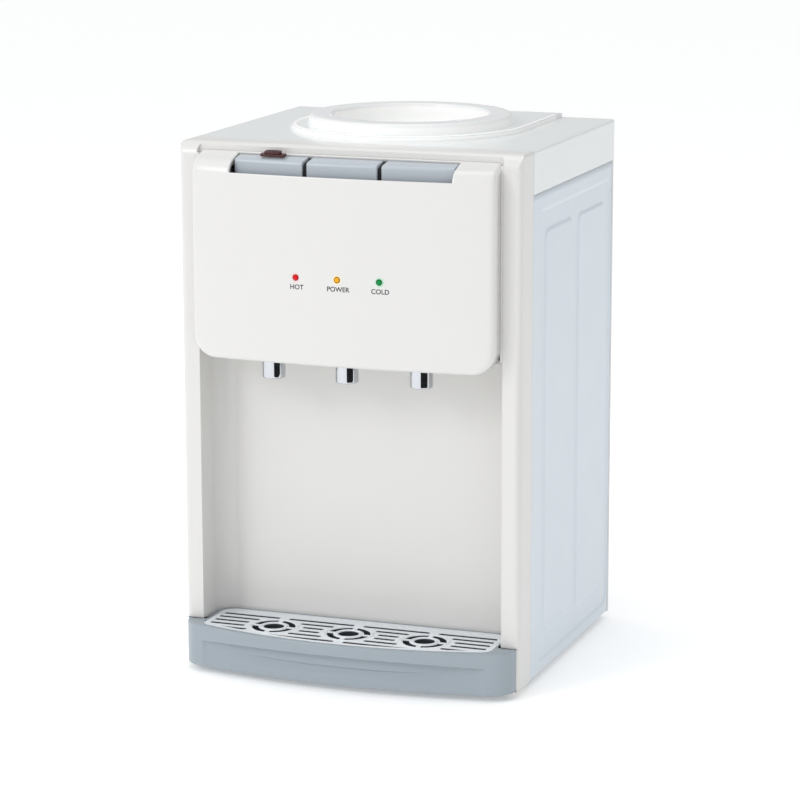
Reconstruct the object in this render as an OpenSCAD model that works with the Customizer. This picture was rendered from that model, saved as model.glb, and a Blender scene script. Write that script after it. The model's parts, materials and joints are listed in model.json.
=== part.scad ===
// Countertop water dispenser with three push-button taps, a bottle seat, a cold
// tank with a thermoelectric cooler, a hot tank and a lift-out drip tray.
// Millimetres. +Z is up, the front faces -Y, and the origin is on the standing
// surface under the middle of the whole object's box.

/* [Casing] */
// Width of the casing
body_w = 300; // [290:1:360]
// Depth from the bezel's front plane to the rear panel
body_d = 264; // [255:1:320]
// Height of the casing, underside to top surface
body_h = 447; // [435:1:560]
// Height of the rubber feet
foot_h = 6; // [3:0.5:9]
// Radius of the casing's long top edges
top_edge_r = 2.5; // [1.5:0.5:12]
// Radius of the bezel's top front edge
front_top_r = 12; // [8:0.5:14]
// Radius of the bezel's front vertical edges
front_edge_r = 5; // [3:0.5:8]
// Wall of the moulded covers
wall = 2.5; // [2:0.1:3.2]
// Thickness of the sheet steel
sheet = 0.8; // [0.6:0.1:1.2]
// Depth of the bezel's side returns
bezel_return = 31; // [24:1:40]
// Height of the top cover's skirt
skirt_h = 36; // [28:1:50]
// Gap between fixed covers that meet
seam = 0.4; // [0.2:0.1:0.8]

/* [Fascia] */
// Width of the fascia
fascia_w = 265; // [250:1:268]
// How far the fascia's middle stands in front of the bezel
fascia_out = 25; // [18:1:32]
// How much nearer the bezel its two sides are than its middle
fascia_bow = 8.5; // [4:0.5:14]
// Height of the fascia's lower edge above the casing's underside
fascia_low = 268.5; // [250:0.5:280]
// Distance from the top surface down to the fascia's rear top edge
fascia_drop = 6.6; // [5:0.2:12]
// Radius of the fascia's lower corners
fascia_corner_r = 20; // [8:1:30]
// Radius of the shoulder between its front and its sloping top
shoulder_r = 14; // [8:1:18]
// Slope of its top, in degrees
shoulder_tilt = 15; // [8:1:22]
// Depth of the bezel's pocket that the fascia stands in
pocket_d = 5; // [3:0.5:8]
// Width of the button opening
slot_w = 200; // [190:1:220]
// Height from the top surface down to the button opening's lower edge
slot_low = 21.5; // [18:0.5:26]

/* [Alcove] */
// Width of the alcove
alcove_w = 268; // [262:1:280]
// Depth of the alcove behind the bezel's front plane
alcove_d = 42; // [36:1:60]
// Radius of the alcove's rear corners
alcove_r = 15; // [8:1:25]

/* [Taps and buttons] */
// Distance between neighbouring taps
tap_pitch = 65.3; // [64:0.1:72]
// Distance of the tap axes in front of the bezel's front plane
tap_out = 3; // [0:0.5:6]
// Outer radius of a chromed spout
spout_r = 9.7; // [8:0.1:11]
// How far a spout reaches below the fascia
spout_drop = 16; // [10:0.5:25]
// Gap between neighbouring buttons
button_gap = 2.6; // [2:0.1:5]
// Distance of the button fronts behind the fascia's front
button_setback = 11; // [8:0.5:13]
// How far a button turns when pressed, in degrees
button_turn = 8; // [5:1:9]
// Radius of the steel rod that the buttons turn on
rod_r = 2; // [1.5:0.1:2.5]
// Radial running clearance of turning and sliding shafts
run = 0.08; // [0.03:0.01:0.1]

/* [Drip tray] */
// How far the tray's middle stands in front of the bezel
tray_out = 40; // [30:1:55]
// How much less it stands out near its ends
tray_bow = 20; // [12:1:26]
// Height of the tray's rim above the casing's underside
tray_rim = 36.5; // [30:0.5:45]
// Depth of the tray's basin below its rim
basin_d = 22; // [14:1:26]
// Distance between the ring targets of the grille
ring_pitch = 68; // [64:0.5:74]
// Thickness of the grille
grille_t = 3; // [2:0.1:4]

/* [Bottle seat] */
// Distance from the bezel's front plane back to the bottle's axis
seat_back = 153.5; // [150:0.5:165]
// Outer radius of the bottle collar
collar_r = 88.8; // [82:0.2:92]
// Radius of the opening in the collar
collar_in_r = 67.5; // [60:0.5:70]
// Height of the collar above its platform
collar_h = 9; // [7:0.5:14]
// Radius of the platform's round front
platform_r = 102; // [98:0.5:108]
// Height of the platform above the top surface
platform_h = 3.5; // [2.5:0.5:8]

/* [Tanks and cooler] */
// Outer radius of the cold tank
cold_r = 60; // [54:1:64]
// Height of the cold tank
cold_h = 100; // [80:1:112]
// Outer radius of the hot tank
hot_r = 42; // [34:1:46]
// Height of the hot tank
hot_h = 130; // [90:1:140]
// Side of the square cooling fan
fan_w = 92; // [80:1:92]
// Thickness of the fan
fan_t = 14; // [12:0.5:15]

/* [Hidden] */
$fn = 96;
e = 0.01;

// Places that the whole object shares
yf = (tray_out - body_d) / 2;            // bezel's front plane
yr = yf + body_d;                        // rear face
z0 = foot_h;                             // casing's underside
zt = z0 + body_h;                        // top surface
ys = yf + bezel_return;                  // where the bezel's returns end
half_w = body_w / 2;
rear_inset = 4;                          // the rear panel lies this far inside
yp = yr - rear_inset;                    // its outer face
seat_y = yf + seat_back;
z_skirt = zt - skirt_h;                  // lower edge of the top cover
z_shelf = z0 + fascia_low + 5.5;         // underside of the tap shelf
shelf_t = 3;
tap_y = yf - tap_out;
TAPS = [-1, 0, 1];
half_alcove = alcove_w / 2;
panel_inset = 0.3;                       // the steel panels lie this far inside the covers

// ---- outlines and small helpers ----
module rounded_rect(w, h, r) {
    square([w - 2 * r, h], center = true);
    square([w, h - 2 * r], center = true);
    for (sx = [-1, 1], sy = [-1, 1])
        translate([sx * (w / 2 - r), sy * (h / 2 - r)]) circle(r);
}

// Extrudes a front view (x, z) from y0 back to y1
module along_y(y0, y1) {
    translate([0, y1, 0]) rotate([90, 0, 0]) linear_extrude(y1 - y0) children();
}

// Extrudes a side view (y, z) from x0 to x1
module along_x(x0, x1) {
    translate([x0, 0, 0]) rotate([90, 0, 90]) linear_extrude(x1 - x0) children();
}

module at_z(z0, z1) {
    translate([0, 0, z0]) linear_extrude(z1 - z0) children();
}

module bar(x, y, z) {
    translate([x[0], y[0], z[0]]) cube([x[1] - x[0], y[1] - y[0], z[1] - z[0]]);
}

module rod(r, z0, z1) {
    translate([0, 0, z0]) cylinder(r = r, h = z1 - z0);
}

// A rod along Y from y0 to y1, at height z
module rod_y(r, y0, y1, z) {
    translate([0, y0, z]) rotate([-90, 0, 0]) cylinder(r = r, h = y1 - y0);
}

function arc(c, r, a0, a1, n) =
    [for (i = [0:n]) c + r * [cos(a0 + (a1 - a0) * i / n), sin(a0 + (a1 - a0) * i / n)]];

// Front view of the casing, drawn in by inset on every side
module casing_front(inset, low, high) {
    r = top_edge_r - min(inset, top_edge_r - 1);
    translate([-half_w + inset, low]) square([body_w - 2 * inset, high - low - r]);
    translate([-half_w + inset + r, low]) square([body_w - 2 * (inset + r), high - low]);
    for (s = [-1, 1]) translate([s * (half_w - inset - r), high - r]) circle(r);
}

// ---- bezel with the alcove behind it ----
module alcove_plan(grow, back) {
    r = alcove_r + grow;
    w = alcove_w + 2 * grow;
    y1 = yf + back + grow;
    translate([-w / 2, yf - 1]) square([w, y1 - r - yf + 1]);
    translate([-w / 2 + r, yf - 1]) square([w - 2 * r, y1 - yf + 1]);
    for (s = [-1, 1]) translate([s * (w / 2 - r), y1 - r]) circle(r);
}

liner_top = z_shelf - 0.2;
pocket_top = zt + 1;
// Side view of the bezel, with its round top front edge
module bezel_side() {
    r = front_top_r;
    translate([yf, z0]) square([bezel_return, body_h - r]);
    translate([yf + r, z0]) square([bezel_return - r, body_h]);
    translate([yf + r, zt - r]) circle(r);
}

module front_panel() {
    color("white") {
        difference() {
            intersection() {
                along_y(yf, ys) casing_front(0, z0, zt);
                along_x(-half_w, half_w) bezel_side();
                at_z(z0, zt) {
                    translate([-half_w, yf + front_edge_r])
                        square([body_w, bezel_return - front_edge_r]);
                    translate([-half_w + front_edge_r, yf])
                        square([body_w - 2 * front_edge_r, bezel_return]);
                    for (s = [-1, 1])
                        translate([s * (half_w - front_edge_r), yf + front_edge_r])
                            circle(front_edge_r);
                }
            }
            // inside of the returns, open to the rear
            along_y(yf + pocket_d + wall, ys + 1) casing_front(wall, z0 - 1, zt - wall);
            for (s = [-1, 1]) bar([min(s * (half_alcove + wall), s * (half_w - wall)),
                max(s * (half_alcove + wall), s * (half_w - wall))],
                [yf + wall, ys + 1], [z0 - 1, zt - 12]);
            // alcove opening, up to the tap shelf and on behind the fascia
            bar([-half_alcove, half_alcove], [yf - 1, yf + pocket_d + wall + 1],
                [z0 - 1, z0 + fascia_low + 120]);
            // pocket round the fascia, which leaves its back wall above the buttons
            along_y(yf - 1, yf + pocket_d)
                translate([0, (pocket_top + z0 + fascia_low) / 2])
                    rounded_rect(alcove_w, pocket_top - z0 - fascia_low, 9);
            // opening for the button arms through the pocket's back wall
            bar([-slot_w / 2 - 6, slot_w / 2 + 6], [yf - 1, yf + 20],
                [z0 + fascia_low + 100, zt - 19]);
        }
        // alcove liner: side walls, rounded corners and back
        difference() {
            at_z(z0, liner_top) difference() {
                alcove_plan(wall, alcove_d);
                alcove_plan(0, alcove_d);
            }
            bar([-half_w, half_w], [yf - 2, yf + wall], [z0 - 1, zt]);
        }
        // floor under the tray
        at_z(z0, z0 + wall) intersection() {
            alcove_plan(wall, alcove_d);
            translate([-half_w, yf + 1]) square([body_w, body_d]);
        }
        // foot of each return
        for (s = [-1, 1])
            bar([min(s * (half_alcove + wall / 2), s * (half_w - wall / 2)),
                max(s * (half_alcove + wall / 2), s * (half_w - wall / 2))],
                [yf + pocket_d, ys], [z0, z0 + wall]);
    }
}

// ---- bowed fascia ----
half_fascia = fascia_w / 2;
function bow_radius(half, sag) = (half * half + sag * sag) / (2 * sag);
fascia_R = bow_radius(half_fascia, fascia_bow);
z_fascia = z0 + fascia_low;
z_fascia_top = zt - fascia_drop;         // rear top edge

// Side view of the fascia: vertical front, round shoulder, sloping top
module fascia_side(inset) {
    r = shoulder_r - inset;
    front = -fascia_out + inset;
    // the slope's line, moved in by inset, meets the front line at the corner
    rear = pocket_d - 0.2;
    top = z_fascia_top - inset / cos(shoulder_tilt);
    corner = top - (rear - front) * tan(shoulder_tilt);
    run_in = r * tan((90 - shoulder_tilt) / 2);
    centre = [front + r, corner - run_in];
    translate([yf, 0]) polygon(concat(
        [[rear, z_fascia + inset], [front, z_fascia + inset]],
        arc(centre, r, 180, 90 + shoulder_tilt, 10),
        [[rear, top]]));
}

module fascia_block(inset) {
    r = fascia_corner_r - inset;
    low = z_fascia + inset;
    intersection() {
        along_x(-half_fascia + inset, half_fascia - inset) fascia_side(inset);
        along_y(yf - fascia_out - 1, yf + pocket_d) {
            translate([-half_fascia + inset, low + r])
                square([fascia_w - 2 * inset, zt - low - r]);
            translate([-half_fascia + inset + r, low])
                square([fascia_w - 2 * inset - 2 * r, zt - low]);
            for (s = [-1, 1])
                translate([s * (half_fascia - inset - r), low + r]) circle(r);
        }
        at_z(z0, zt) polygon(bowed(half_fascia - inset, yf - fascia_out + inset,
            fascia_R - inset, 5 - inset, yf + 20, 1));
    }
}

led_pitch = 36.5;
z_led = z0 + 342;
led_r = 2.5;
slot_rim = 2;                            // strip of fascia left behind the slot
lip = 12;                                // width of its underside at each end
module fascia() {
    color("white") difference() {
        fascia_block(0);
        // hollow, open to the rear
        translate([0, pocket_d, 0]) fascia_block(wall);
        fascia_block(wall);
        // underside open for the spouts
        bar([-half_fascia + lip, half_fascia - lip], [yf - fascia_out + 6, yf + pocket_d],
            [z_fascia - 1, z_fascia + wall + 1]);
        // button opening over the shoulder
        bar([-slot_w / 2, slot_w / 2], [yf - fascia_out - 1, yf + pocket_d - slot_rim],
            [zt - slot_low, zt + 1]);
        for (i = TAPS) translate([i * led_pitch, 0, 0])
            rod_y(led_r + 0.15, yf - fascia_out - 1, yf - fascia_out + wall + 2, z_led);
    }
}

// ---- top cover with the platform and the collar's well ----
well_r = collar_r - 8.5;
well_d = 22;
y_cover = ys + seam;
module platform_plan(r) {
    translate([0, seat_y]) circle(r);
    translate([-r, seat_y]) square([2 * r, yr - seat_y]);
}

module top_cover() {
    color("white") {
        difference() {
            along_y(y_cover, yr) casing_front(0, z_skirt, zt);
            along_y(y_cover - 1, yr - wall) casing_front(wall, z_skirt - 1, zt - wall);
            translate([0, seat_y, 0]) rod(well_r, zt - wall - 1, zt + 1);
        }
        difference() {
            at_z(zt - e, zt + platform_h) platform_plan(platform_r);
            at_z(zt - wall, zt + platform_h - wall) difference() {
                platform_plan(platform_r - wall);
                translate([0, seat_y]) circle(well_r + wall);
                translate([-half_w, yr - wall]) square([body_w, wall + 1]);
            }
            translate([0, seat_y, 0]) rod(well_r, zt - 1, zt + platform_h + 1);
        }
        // wall of the well, which the collar's skirt stands in
        translate([0, seat_y, 0]) difference() {
            rod(well_r + wall, zt - well_d, zt + e);
            rod(well_r, zt - well_d - 1, zt + 1);
        }
    }
}

// ---- lift-out bottle collar: ring, bowl and neck in one moulding ----
z_collar = zt + platform_h + 0.3;
z_collar_top = z_collar + collar_h - 0.3;
neck_r = 30;
neck_low = zt - 52;
bowl_low = zt - 34;
module bottle_collar() {
    in_r = collar_in_r;
    // outer surface of the bowl's moulding, from the ring's inner edge to the neck
    color("white") translate([0, seat_y, 0]) rotate_extrude($fn = 120) difference() {
        union() {
            polygon(concat(
                [[in_r - 2, z_collar_top - 8], [in_r, z_collar_top - 1.5]],
                arc([in_r + 1.5, z_collar_top - 1.5], 1.5, 180, 90, 4),
                arc([collar_r - 4.4, z_collar_top - 3], 3, 90, 0, 6),
                [[collar_r, z_collar], [collar_r - wall, z_collar],
                [well_r - 0.4, z_collar], [well_r - 0.4, zt - well_d + 3],
                [well_r - 0.4 - wall, zt - well_d + 3],
                [well_r - 0.4 - wall, z_collar_top - 8]]));
            polygon(concat(
                [[well_r - 1 - wall, z_collar_top - 8 - wall]],
                [[in_r - 2, z_collar_top - 8 - wall]],
                [for (a = [0:10:90]) [neck_r + wall + (in_r - 2 - neck_r - wall)
                    * cos(a), z_collar_top - 8 - wall
                    - (z_collar_top - 8 - wall - bowl_low) * sin(a)]],
                [[neck_r + wall, neck_low], [neck_r, neck_low]],
                [for (a = [90:-10:0]) [neck_r + (in_r - 2 - neck_r) * cos(a),
                    z_collar_top - 8 - (z_collar_top - 8 - bowl_low - wall) * sin(a)]],
                [[well_r - 1 - wall, z_collar_top - 8]]));
        }
        // hollow under the ring
        polygon([[collar_r - wall - 0.5, z_collar - 1], [collar_r - wall - 2.5,
            z_collar_top - wall - 1], [well_r + 2, z_collar_top - wall - 1],
            [well_r + 2, z_collar - 1]]);
    }
}

// ---- steel side panels with pressed panels ----
emboss = 1.2;
frame_y = [yf + 51, yr - 9];
frame_z = [z0 + 10, z_skirt - 16];
press_gap = 17;                          // from the frame to the inner panels
press_y = [[frame_y[0] + press_gap, (frame_y[0] + frame_y[1]) / 2 - press_gap / 2],
    [(frame_y[0] + frame_y[1]) / 2 + press_gap / 2, frame_y[1] - press_gap]];
press_z = [frame_z[0] + 20, frame_z[1] - 18];
module press_outline(y, z, r, grow) {
    translate([(y[0] + y[1]) / 2, (z[0] + z[1]) / 2])
        rounded_rect(y[1] - y[0] + 2 * grow, z[1] - z[0] + 2 * grow, r + grow);
}

module side_panel(s) {
    y0 = ys + seam;
    y1 = yp - sheet - 0.1;
    z1 = z_skirt - seam;
    x_out = half_w - panel_inset;
    mirror([s < 0 ? 1 : 0, 0, 0]) color("lightsteelblue") {
        difference() {
            bar([x_out - sheet - emboss, x_out], [y0, y1], [z0 + 0.2, z1]);
            // recess seen from outside, with two islands
            along_x(x_out - emboss, x_out + 1) difference() {
                press_outline(frame_y, frame_z, 10, 0);
                for (y = press_y) press_outline(y, press_z, 8, 0);
            }
            // the same pressing seen from inside
            along_x(x_out - sheet - emboss - 1, x_out - sheet) difference() {
                translate([y0 - 1, z0 - 1]) square([y1 - y0 + 2, z1 - z0 + 2]);
                press_outline(frame_y, frame_z, 10, sheet);
            }
            along_x(x_out - sheet - emboss - 1, x_out - sheet)
                for (y = press_y) press_outline(y, press_z, 8, -sheet);
        }
        // folded flanges at the front, the rear and the bottom
        bar([x_out - 11, x_out - e], [y0, y0 + sheet], [z0 + 0.2, z1]);
        difference() {
            bar([x_out - 11, x_out - e], [y1 - sheet, y1], [z0 + 0.2, z1]);
            for (p = rear_screws) translate([p[0], 0, 0]) rod_y(screw_r, yr - 20, yr, p[1]);
        }
        bar([x_out - 11, x_out - e], [y0, y1], [z0 + 0.2, z0 + 0.2 + sheet]);
        // tongue that reaches up behind the skirt
        bar([x_out - 3.6 - sheet, x_out - 3.6], [y0 + 14, y1 - 14], [z1 - 14, z1 + 16]);
        bar([x_out - 3.6 - sheet, x_out - e], [y0 + 14, y1 - 14], [z1 - 14, z1 - 14 + sheet]);
    }
}

// ---- rear panel ----
inner_x = half_w - 12;
tank_head = 53;                          // from the top surface down to the cold tank
z_tank = zt - tank_head - cold_h;        // underside of the cold tank
fan_z = z_tank + 54;                     // middle of the cooler and its fan
fan_y0 = yp - sheet - 0.2 - fan_t;       // front of the fan frame
switch_z = z0 + 120;
switch_x = [70, 98];
switch_cut = [19.6, 13.4];
inlet_x = 84;
inlet_z = z0 + 62;
inlet_cut = [27.4, 20];
drain_x = -70;
drain_z = z0 + 24;
screw_r = 1.9;
rear_screws = [for (sx = [-1, 1], z = [z0 + 14, z0 + 150, z0 + 285, z_skirt - 12])
    [sx * (half_w - 6), z]];
module rear_cutouts() {
    // fan guard: rings of slots between spokes
    for (ring = [14, 23, 32, 41]) if (ring < fan_w / 2 - 4)
        translate([0, fan_z]) difference() {
            circle(ring + 2.6);
            circle(ring - 2.6);
            for (a = [45, 135]) rotate(a) square([fan_w, 4], center = true);
        }
    // vents beside the tanks
    for (sx = [-1, 1], row = [0:7])
        translate([sx * (half_w - 50), z0 + 190 + row * 11]) {
            square([40, 4], center = true);
            for (t = [-1, 1]) translate([t * 20, 0]) circle(2);
        }
    for (x = switch_x) translate([x, switch_z])
        square([switch_cut[1], switch_cut[0]], center = true);
    translate([inlet_x, inlet_z]) square(inlet_cut, center = true);
    translate([drain_x, drain_z]) circle(8.2);
    for (p = rear_screws) translate(p) circle(screw_r + 0.2);
}

module rear_panel() {
    color("gainsboro") {
        along_y(yp - sheet, yp) difference() {
            translate([-half_w + panel_inset, z0])
                square([body_w - 2 * panel_inset, z_skirt - seam - z0]);
            rear_cutouts();
        }
        // rim folded to the rear
        along_y(yp - e, yr - 0.2) difference() {
            translate([-half_w + panel_inset, z0])
                square([body_w - 2 * panel_inset, z_skirt - seam - z0]);
            translate([-half_w + panel_inset + sheet, z0 + sheet])
                square([body_w - 2 * (panel_inset + sheet), z_skirt - seam - z0 - 2 * sheet]);
        }
    }
}

// ---- base plate and feet ----
base_y = [yf + alcove_d + wall + 0.4, yp - sheet - 1.2];
foot_in = [42, 34];                      // foot centres inside the casing's sides and ends
foot_x = half_w - foot_in[0];
foot_y = [yf + foot_in[1], yr - foot_in[1]];
module base_plate() {
    color("silver") {
        difference() {
            bar([-inner_x + 0.4, inner_x - 0.4], base_y, [z0, z0 + sheet]);
            for (x = [-1, 1]) translate([x * foot_x, foot_y[1], 0]) rod(2.6, z0 - 1, z0 + 3);
            // cooling slots
            for (row = [-3:3]) translate([row * 14 + 40, (base_y[0] + base_y[1]) / 2, z0 - 1])
                linear_extrude(4) rounded_rect(5, 60, 2.4);
        }
        // upturned front and side edges
        bar([-inner_x + 0.4, inner_x - 0.4], [base_y[0], base_y[0] + sheet], [z0, z0 + 14]);
        for (s = [-1, 1])
            bar([s < 0 ? -inner_x + 0.4 : inner_x - 0.4 - sheet,
                s < 0 ? -inner_x + 0.4 + sheet : inner_x - 0.4], base_y, [z0, z0 + 10]);
    }
}

module feet() {
    color("dimgray") for (sx = [-1, 1], y = foot_y) translate([sx * foot_x, y, 0]) {
        cylinder(r1 = 8.5, r2 = 10, h = foot_h - 0.05);
        if (y == foot_y[1]) rod(2.3, foot_h - 0.1, foot_h + 3.5);
    }
}

// ---- swept wires and tubes ----
function unit(v) = v / norm(v);
// Rounds each inner corner of a route with a curve that starts r before it
function rounded_route(p, r, n) = concat([p[0]],
    [for (i = [1:len(p) - 2]) let (s = p[i] + unit(p[i - 1] - p[i]) * r,
        f = p[i] + unit(p[i + 1] - p[i]) * r)
        for (k = [0:n]) let (t = k / n)
            (1 - t) * (1 - t) * s + 2 * t * (1 - t) * p[i] + t * t * f],
    [p[len(p) - 1]]);
function heading(p, i) = unit(p[min(i + 1, len(p) - 1)] - p[max(i - 1, 0)]);
// A side direction at each point that turns as little as it can
function sides_of(p, last, i = 0) = i == len(p) ? [] :
    let (t = heading(p, i), m = unit(last - (last * t) * t))
        concat([m], sides_of(p, m, i + 1));
function rings(p, m, r, n) = [for (i = [0:len(p) - 1])
    let (t = heading(p, i), b = cross(t, m[i])) for (j = [0:n - 1])
        p[i] + r * (cos(360 * j / n) * m[i] + sin(360 * j / n) * b)];

// A wire of radius r, or a tube when r_in is above 0
module swept(p, r, r_in, n) {
    t0 = heading(p, 0);
    m = sides_of(p, abs(t0[0]) > 0.7 ? [0, 1, 0] : [1, 0, 0]);
    k = len(p);
    skin = [for (i = [0:k - 2], j = [0:n - 1]) let (q = (j + 1) % n)
        [i * n + j, i * n + q, (i + 1) * n + q, (i + 1) * n + j]];
    if (r_in > 0) {
        bore = [for (f = skin) [f[3] + k * n, f[2] + k * n, f[1] + k * n, f[0] + k * n]];
        ends = [for (j = [0:n - 1]) let (q = (j + 1) % n, s = k * n, z = (k - 1) * n)
            each [[j, s + j, s + q, q], [z + q, s + z + q, s + z + j, z + j]]];
        polyhedron(concat(rings(p, m, r, n), rings(p, m, r_in, n)),
            concat(skin, bore, ends), convexity = 6);
    } else {
        polyhedron(rings(p, m, r, n), concat(skin, [[for (j = [n - 1:-1:0]) j]],
            [[for (j = [0:n - 1]) (k - 1) * n + j]]), convexity = 6);
    }
}

// Outline, front towards -Y, whose front is an arc and whose corners are round
function bowed(x, front, R, r, back, rb) =
    let (yc = front + R, cy = yc - sqrt(pow(R - r, 2) - pow(x - r, 2)),
        a = atan2(cy - yc, x - r))
    concat(arc([x - rb, back - rb], rb, 90, 0, 6), arc([x - r, cy], r, 0, a, 6),
        arc([0, yc], R, a, -180 - a, 36), arc([r - x, cy], r, -180 - a, -180, 6),
        arc([rb - x, back - rb], rb, 180, 90, 6));

// ---- drip tray and its grille ----
tray_side = 2.6;                         // how far its ends lie inside the casing's sides
tray_x = half_w - tray_side;
tray_R = bow_radius(tray_x, tray_bow + 6);
tray_low = z0 - 0.5;
tray_top = z0 + tray_rim;
tray_gap = 1;                            // between the basin and the alcove's walls
tray_wall = 2.4;
grip_h = 25;                             // height of the finger grip
grip_in = 8;                             // its depth in the middle
grip_x = 127;                            // half its width
grip_R = bow_radius(grip_x, grip_x * grip_x / (2 * tray_R) - grip_in);
grille_x = half_alcove - 5;
rebate = 0.3;
module tray_front(inset) {
    polygon(bowed(tray_x - inset, yf - tray_out + inset, tray_R - inset, 14 - inset,
        yf - 0.3 - inset, 1));
}

module tray_basin(inset) {
    x = half_alcove - tray_gap - inset;
    polygon(bowed(x, yf - tray_out + 3 + inset, tray_R - 3 - inset, 8 - inset,
        yf + alcove_d - tray_gap - inset, alcove_r - inset));
}

module grille_plan(inset) {
    polygon(bowed(grille_x - inset, yf - tray_out + 4 + inset, tray_R - 4 - inset, 7,
        yf + alcove_d - 4 - inset, alcove_r - 3));
}

module grip_limit(inset) {
    translate([0, yf - tray_out + grip_in + inset + grip_R]) circle(grip_R, $fn = 360);
}

module drip_tray() {
    floor_z = tray_top - basin_d;
    color("lightslategray") difference() {
        union() {
            at_z(tray_low + grip_h, tray_top) tray_front(0);
            at_z(tray_low, tray_low + grip_h + e) intersection() {
                tray_front(0);
                grip_limit(0);
            }
            at_z(z0 + wall + 0.3, tray_top) tray_basin(0);
        }
        // basin, and the ledge that the grille lies on
        at_z(floor_z, tray_top + 1) grille_plan(2.2);
        at_z(tray_top - grille_t - rebate, tray_top + 1) grille_plan(-rebate);
        // hollow underneath
        at_z(tray_low - 1, floor_z - tray_wall) intersection() {
            union() {
                tray_front(tray_wall);
                tray_basin(tray_wall);
            }
            grip_limit(tray_wall);
        }
        at_z(floor_z - tray_wall - e, tray_top - tray_wall - grille_t) difference() {
            tray_front(tray_wall);
            grille_plan(2.2 - tray_wall);
        }
    }
}

row_pitch = 10;
slot_h = 4.8;
ring_in = 8.8;
ring_slots = [13, 18.5];
ring_out = 22.5;
module slot_row(y, gap) {
    // runs between neighbouring rings, and out to both ends
    for (i = [-2:1]) {
        x0 = i == -2 ? -half_alcove : i * ring_pitch + gap;
        x1 = i == 1 ? half_alcove : (i + 1) * ring_pitch - gap;
        translate([x0 + slot_h / 2, y - slot_h / 2]) square([x1 - x0 - slot_h, slot_h]);
        for (x = [x0 + slot_h / 2, x1 - slot_h / 2]) translate([x, y]) circle(slot_h / 2);
    }
}

module drip_grille() {
    z1 = tray_top - rebate;
    color("lightgray") at_z(z1 - grille_t, z1) difference() {
        grille_plan(0);
        intersection() {
            grille_plan(5);
            for (s = [-1, 1]) {
                slot_row(tap_y + s * row_pitch / 2, ring_out + 2);
                slot_row(tap_y + s * row_pitch * 3 / 2, ring_out - 3.5);
                slot_row(tap_y + s * row_pitch * 5 / 2, 4);
            }
        }
        for (i = TAPS) translate([i * ring_pitch, tap_y]) {
            circle(ring_in);
            difference() {
                circle(ring_slots[1]);
                circle(ring_slots[0]);
                square([3 * ring_out, 4], center = true);
                square([4, 3 * ring_out], center = true);
            }
        }
    }
}

// ---- taps ----
nozzle_r = 7;
barrel_r = 10.5;
chamber_r = 8;                           // bore of the valve chamber
disc_r = 6.8;                            // valve disc
spring_r = 6;                            // middle of the valve spring's wire
spout_lip = 1.6;                         // round of a spout's lower edge
z_flange = z_shelf + shelf_t;
z_seat = z_flange + 17;                  // underside of the valve seat
z_inlet = z_flange + 26;
z_gland = z_flange + 33;
tap_top = z_gland + 6;
stem_r = 2.5;
barb_r = 4;
barb_in = 2.5;
barb_end = tap_y + 26;
disc_t = 3.2;
disc_gap = 0.2;
z_disc = z_seat - disc_gap - disc_t;     // underside of the valve disc
z_spring = z_flange + 5.5;
pivot_y = yf + 14;
pivot_z = zt - 25;
z_pad = pivot_z - 10;                    // where a button presses its plunger
press_gap_z = 0.3;
module tap_shelf() {
    color("whitesmoke") at_z(z_shelf, z_flange) difference() {
        union() {
            polygon(bowed(half_fascia - lip - 0.5, yf - fascia_out + wall + 0.5,
                fascia_R - wall, 4, yf + 12, 1));
            translate([-half_alcove - wall + 0.2, yf + 9])
                square([alcove_w + 2 * wall - 0.4, alcove_d + wall - 9]);
        }
        for (i = TAPS) translate([i * tap_pitch, tap_y]) circle(nozzle_r + 0.4);
    }
}

module tap_bodies() {
    color("ivory") for (i = TAPS) translate([i * tap_pitch, tap_y, 0]) difference() {
        union() {
            rod(nozzle_r, z_fascia - spout_drop + 4, z_flange + 1);
            rod(barrel_r + 2.5, z_flange, z_flange + 3);
            rod(barrel_r, z_flange, tap_top);
            rod_y(barb_r, barrel_r - 2, barb_end - tap_y, z_inlet);
        }
        rod(4.4, z_fascia - spout_drop, z_spring + 1);
        rod(chamber_r, z_spring, z_seat);
        rod(4, z_seat - 1, z_seat + 3);
        rod(6, z_seat + 2, z_gland);
        rod(stem_r + run, z_gland - 1, tap_top + 1);
        rod_y(barb_in, 3, barb_end - tap_y + 1, z_inlet);
    }
}

module spout(i) {
    z_lip = z_fascia - spout_drop;
    color("silver") translate([i * tap_pitch, tap_y, 0]) rotate_extrude() polygon(concat(
        [[nozzle_r + 0.1, z_shelf - 0.1], [nozzle_r + 0.1, z_lip + 0.8]],
        [[nozzle_r + 0.5, z_lip]],
        arc([spout_r - spout_lip, z_lip + spout_lip], spout_lip, -90, 0, 6),
        [[spout_r, z_shelf - 0.1]]));
}

plunger_r = 4;                           // its rounded head
module plunger(i) {
    z_head = z_pad - press_gap_z;
    color("snow") translate([i * tap_pitch, tap_y, 0]) {
        rod(disc_r, z_disc, z_seat - disc_gap);
        rod(stem_r, z_seat - disc_gap - e, z_head - 3);
        intersection() {
            translate([0, 0, z_head - plunger_r]) sphere(plunger_r);
            rod(plunger_r, z_head - plunger_r, z_head);
        }
    }
}

spring_turns = 3.5;
module valve_spring(i) {
    wire = 0.5;
    z_a = z_spring + wire + 0.1;
    z_b = z_disc - wire - 0.1;
    color("silver") translate([i * tap_pitch, tap_y, 0]) swept(
        [for (a = [0:20:360 * spring_turns])
            [spring_r * cos(a), spring_r * sin(a), z_a + (z_b - z_a) * a / (360 * spring_turns)]],
        wire, 0, 6);
}

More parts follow.
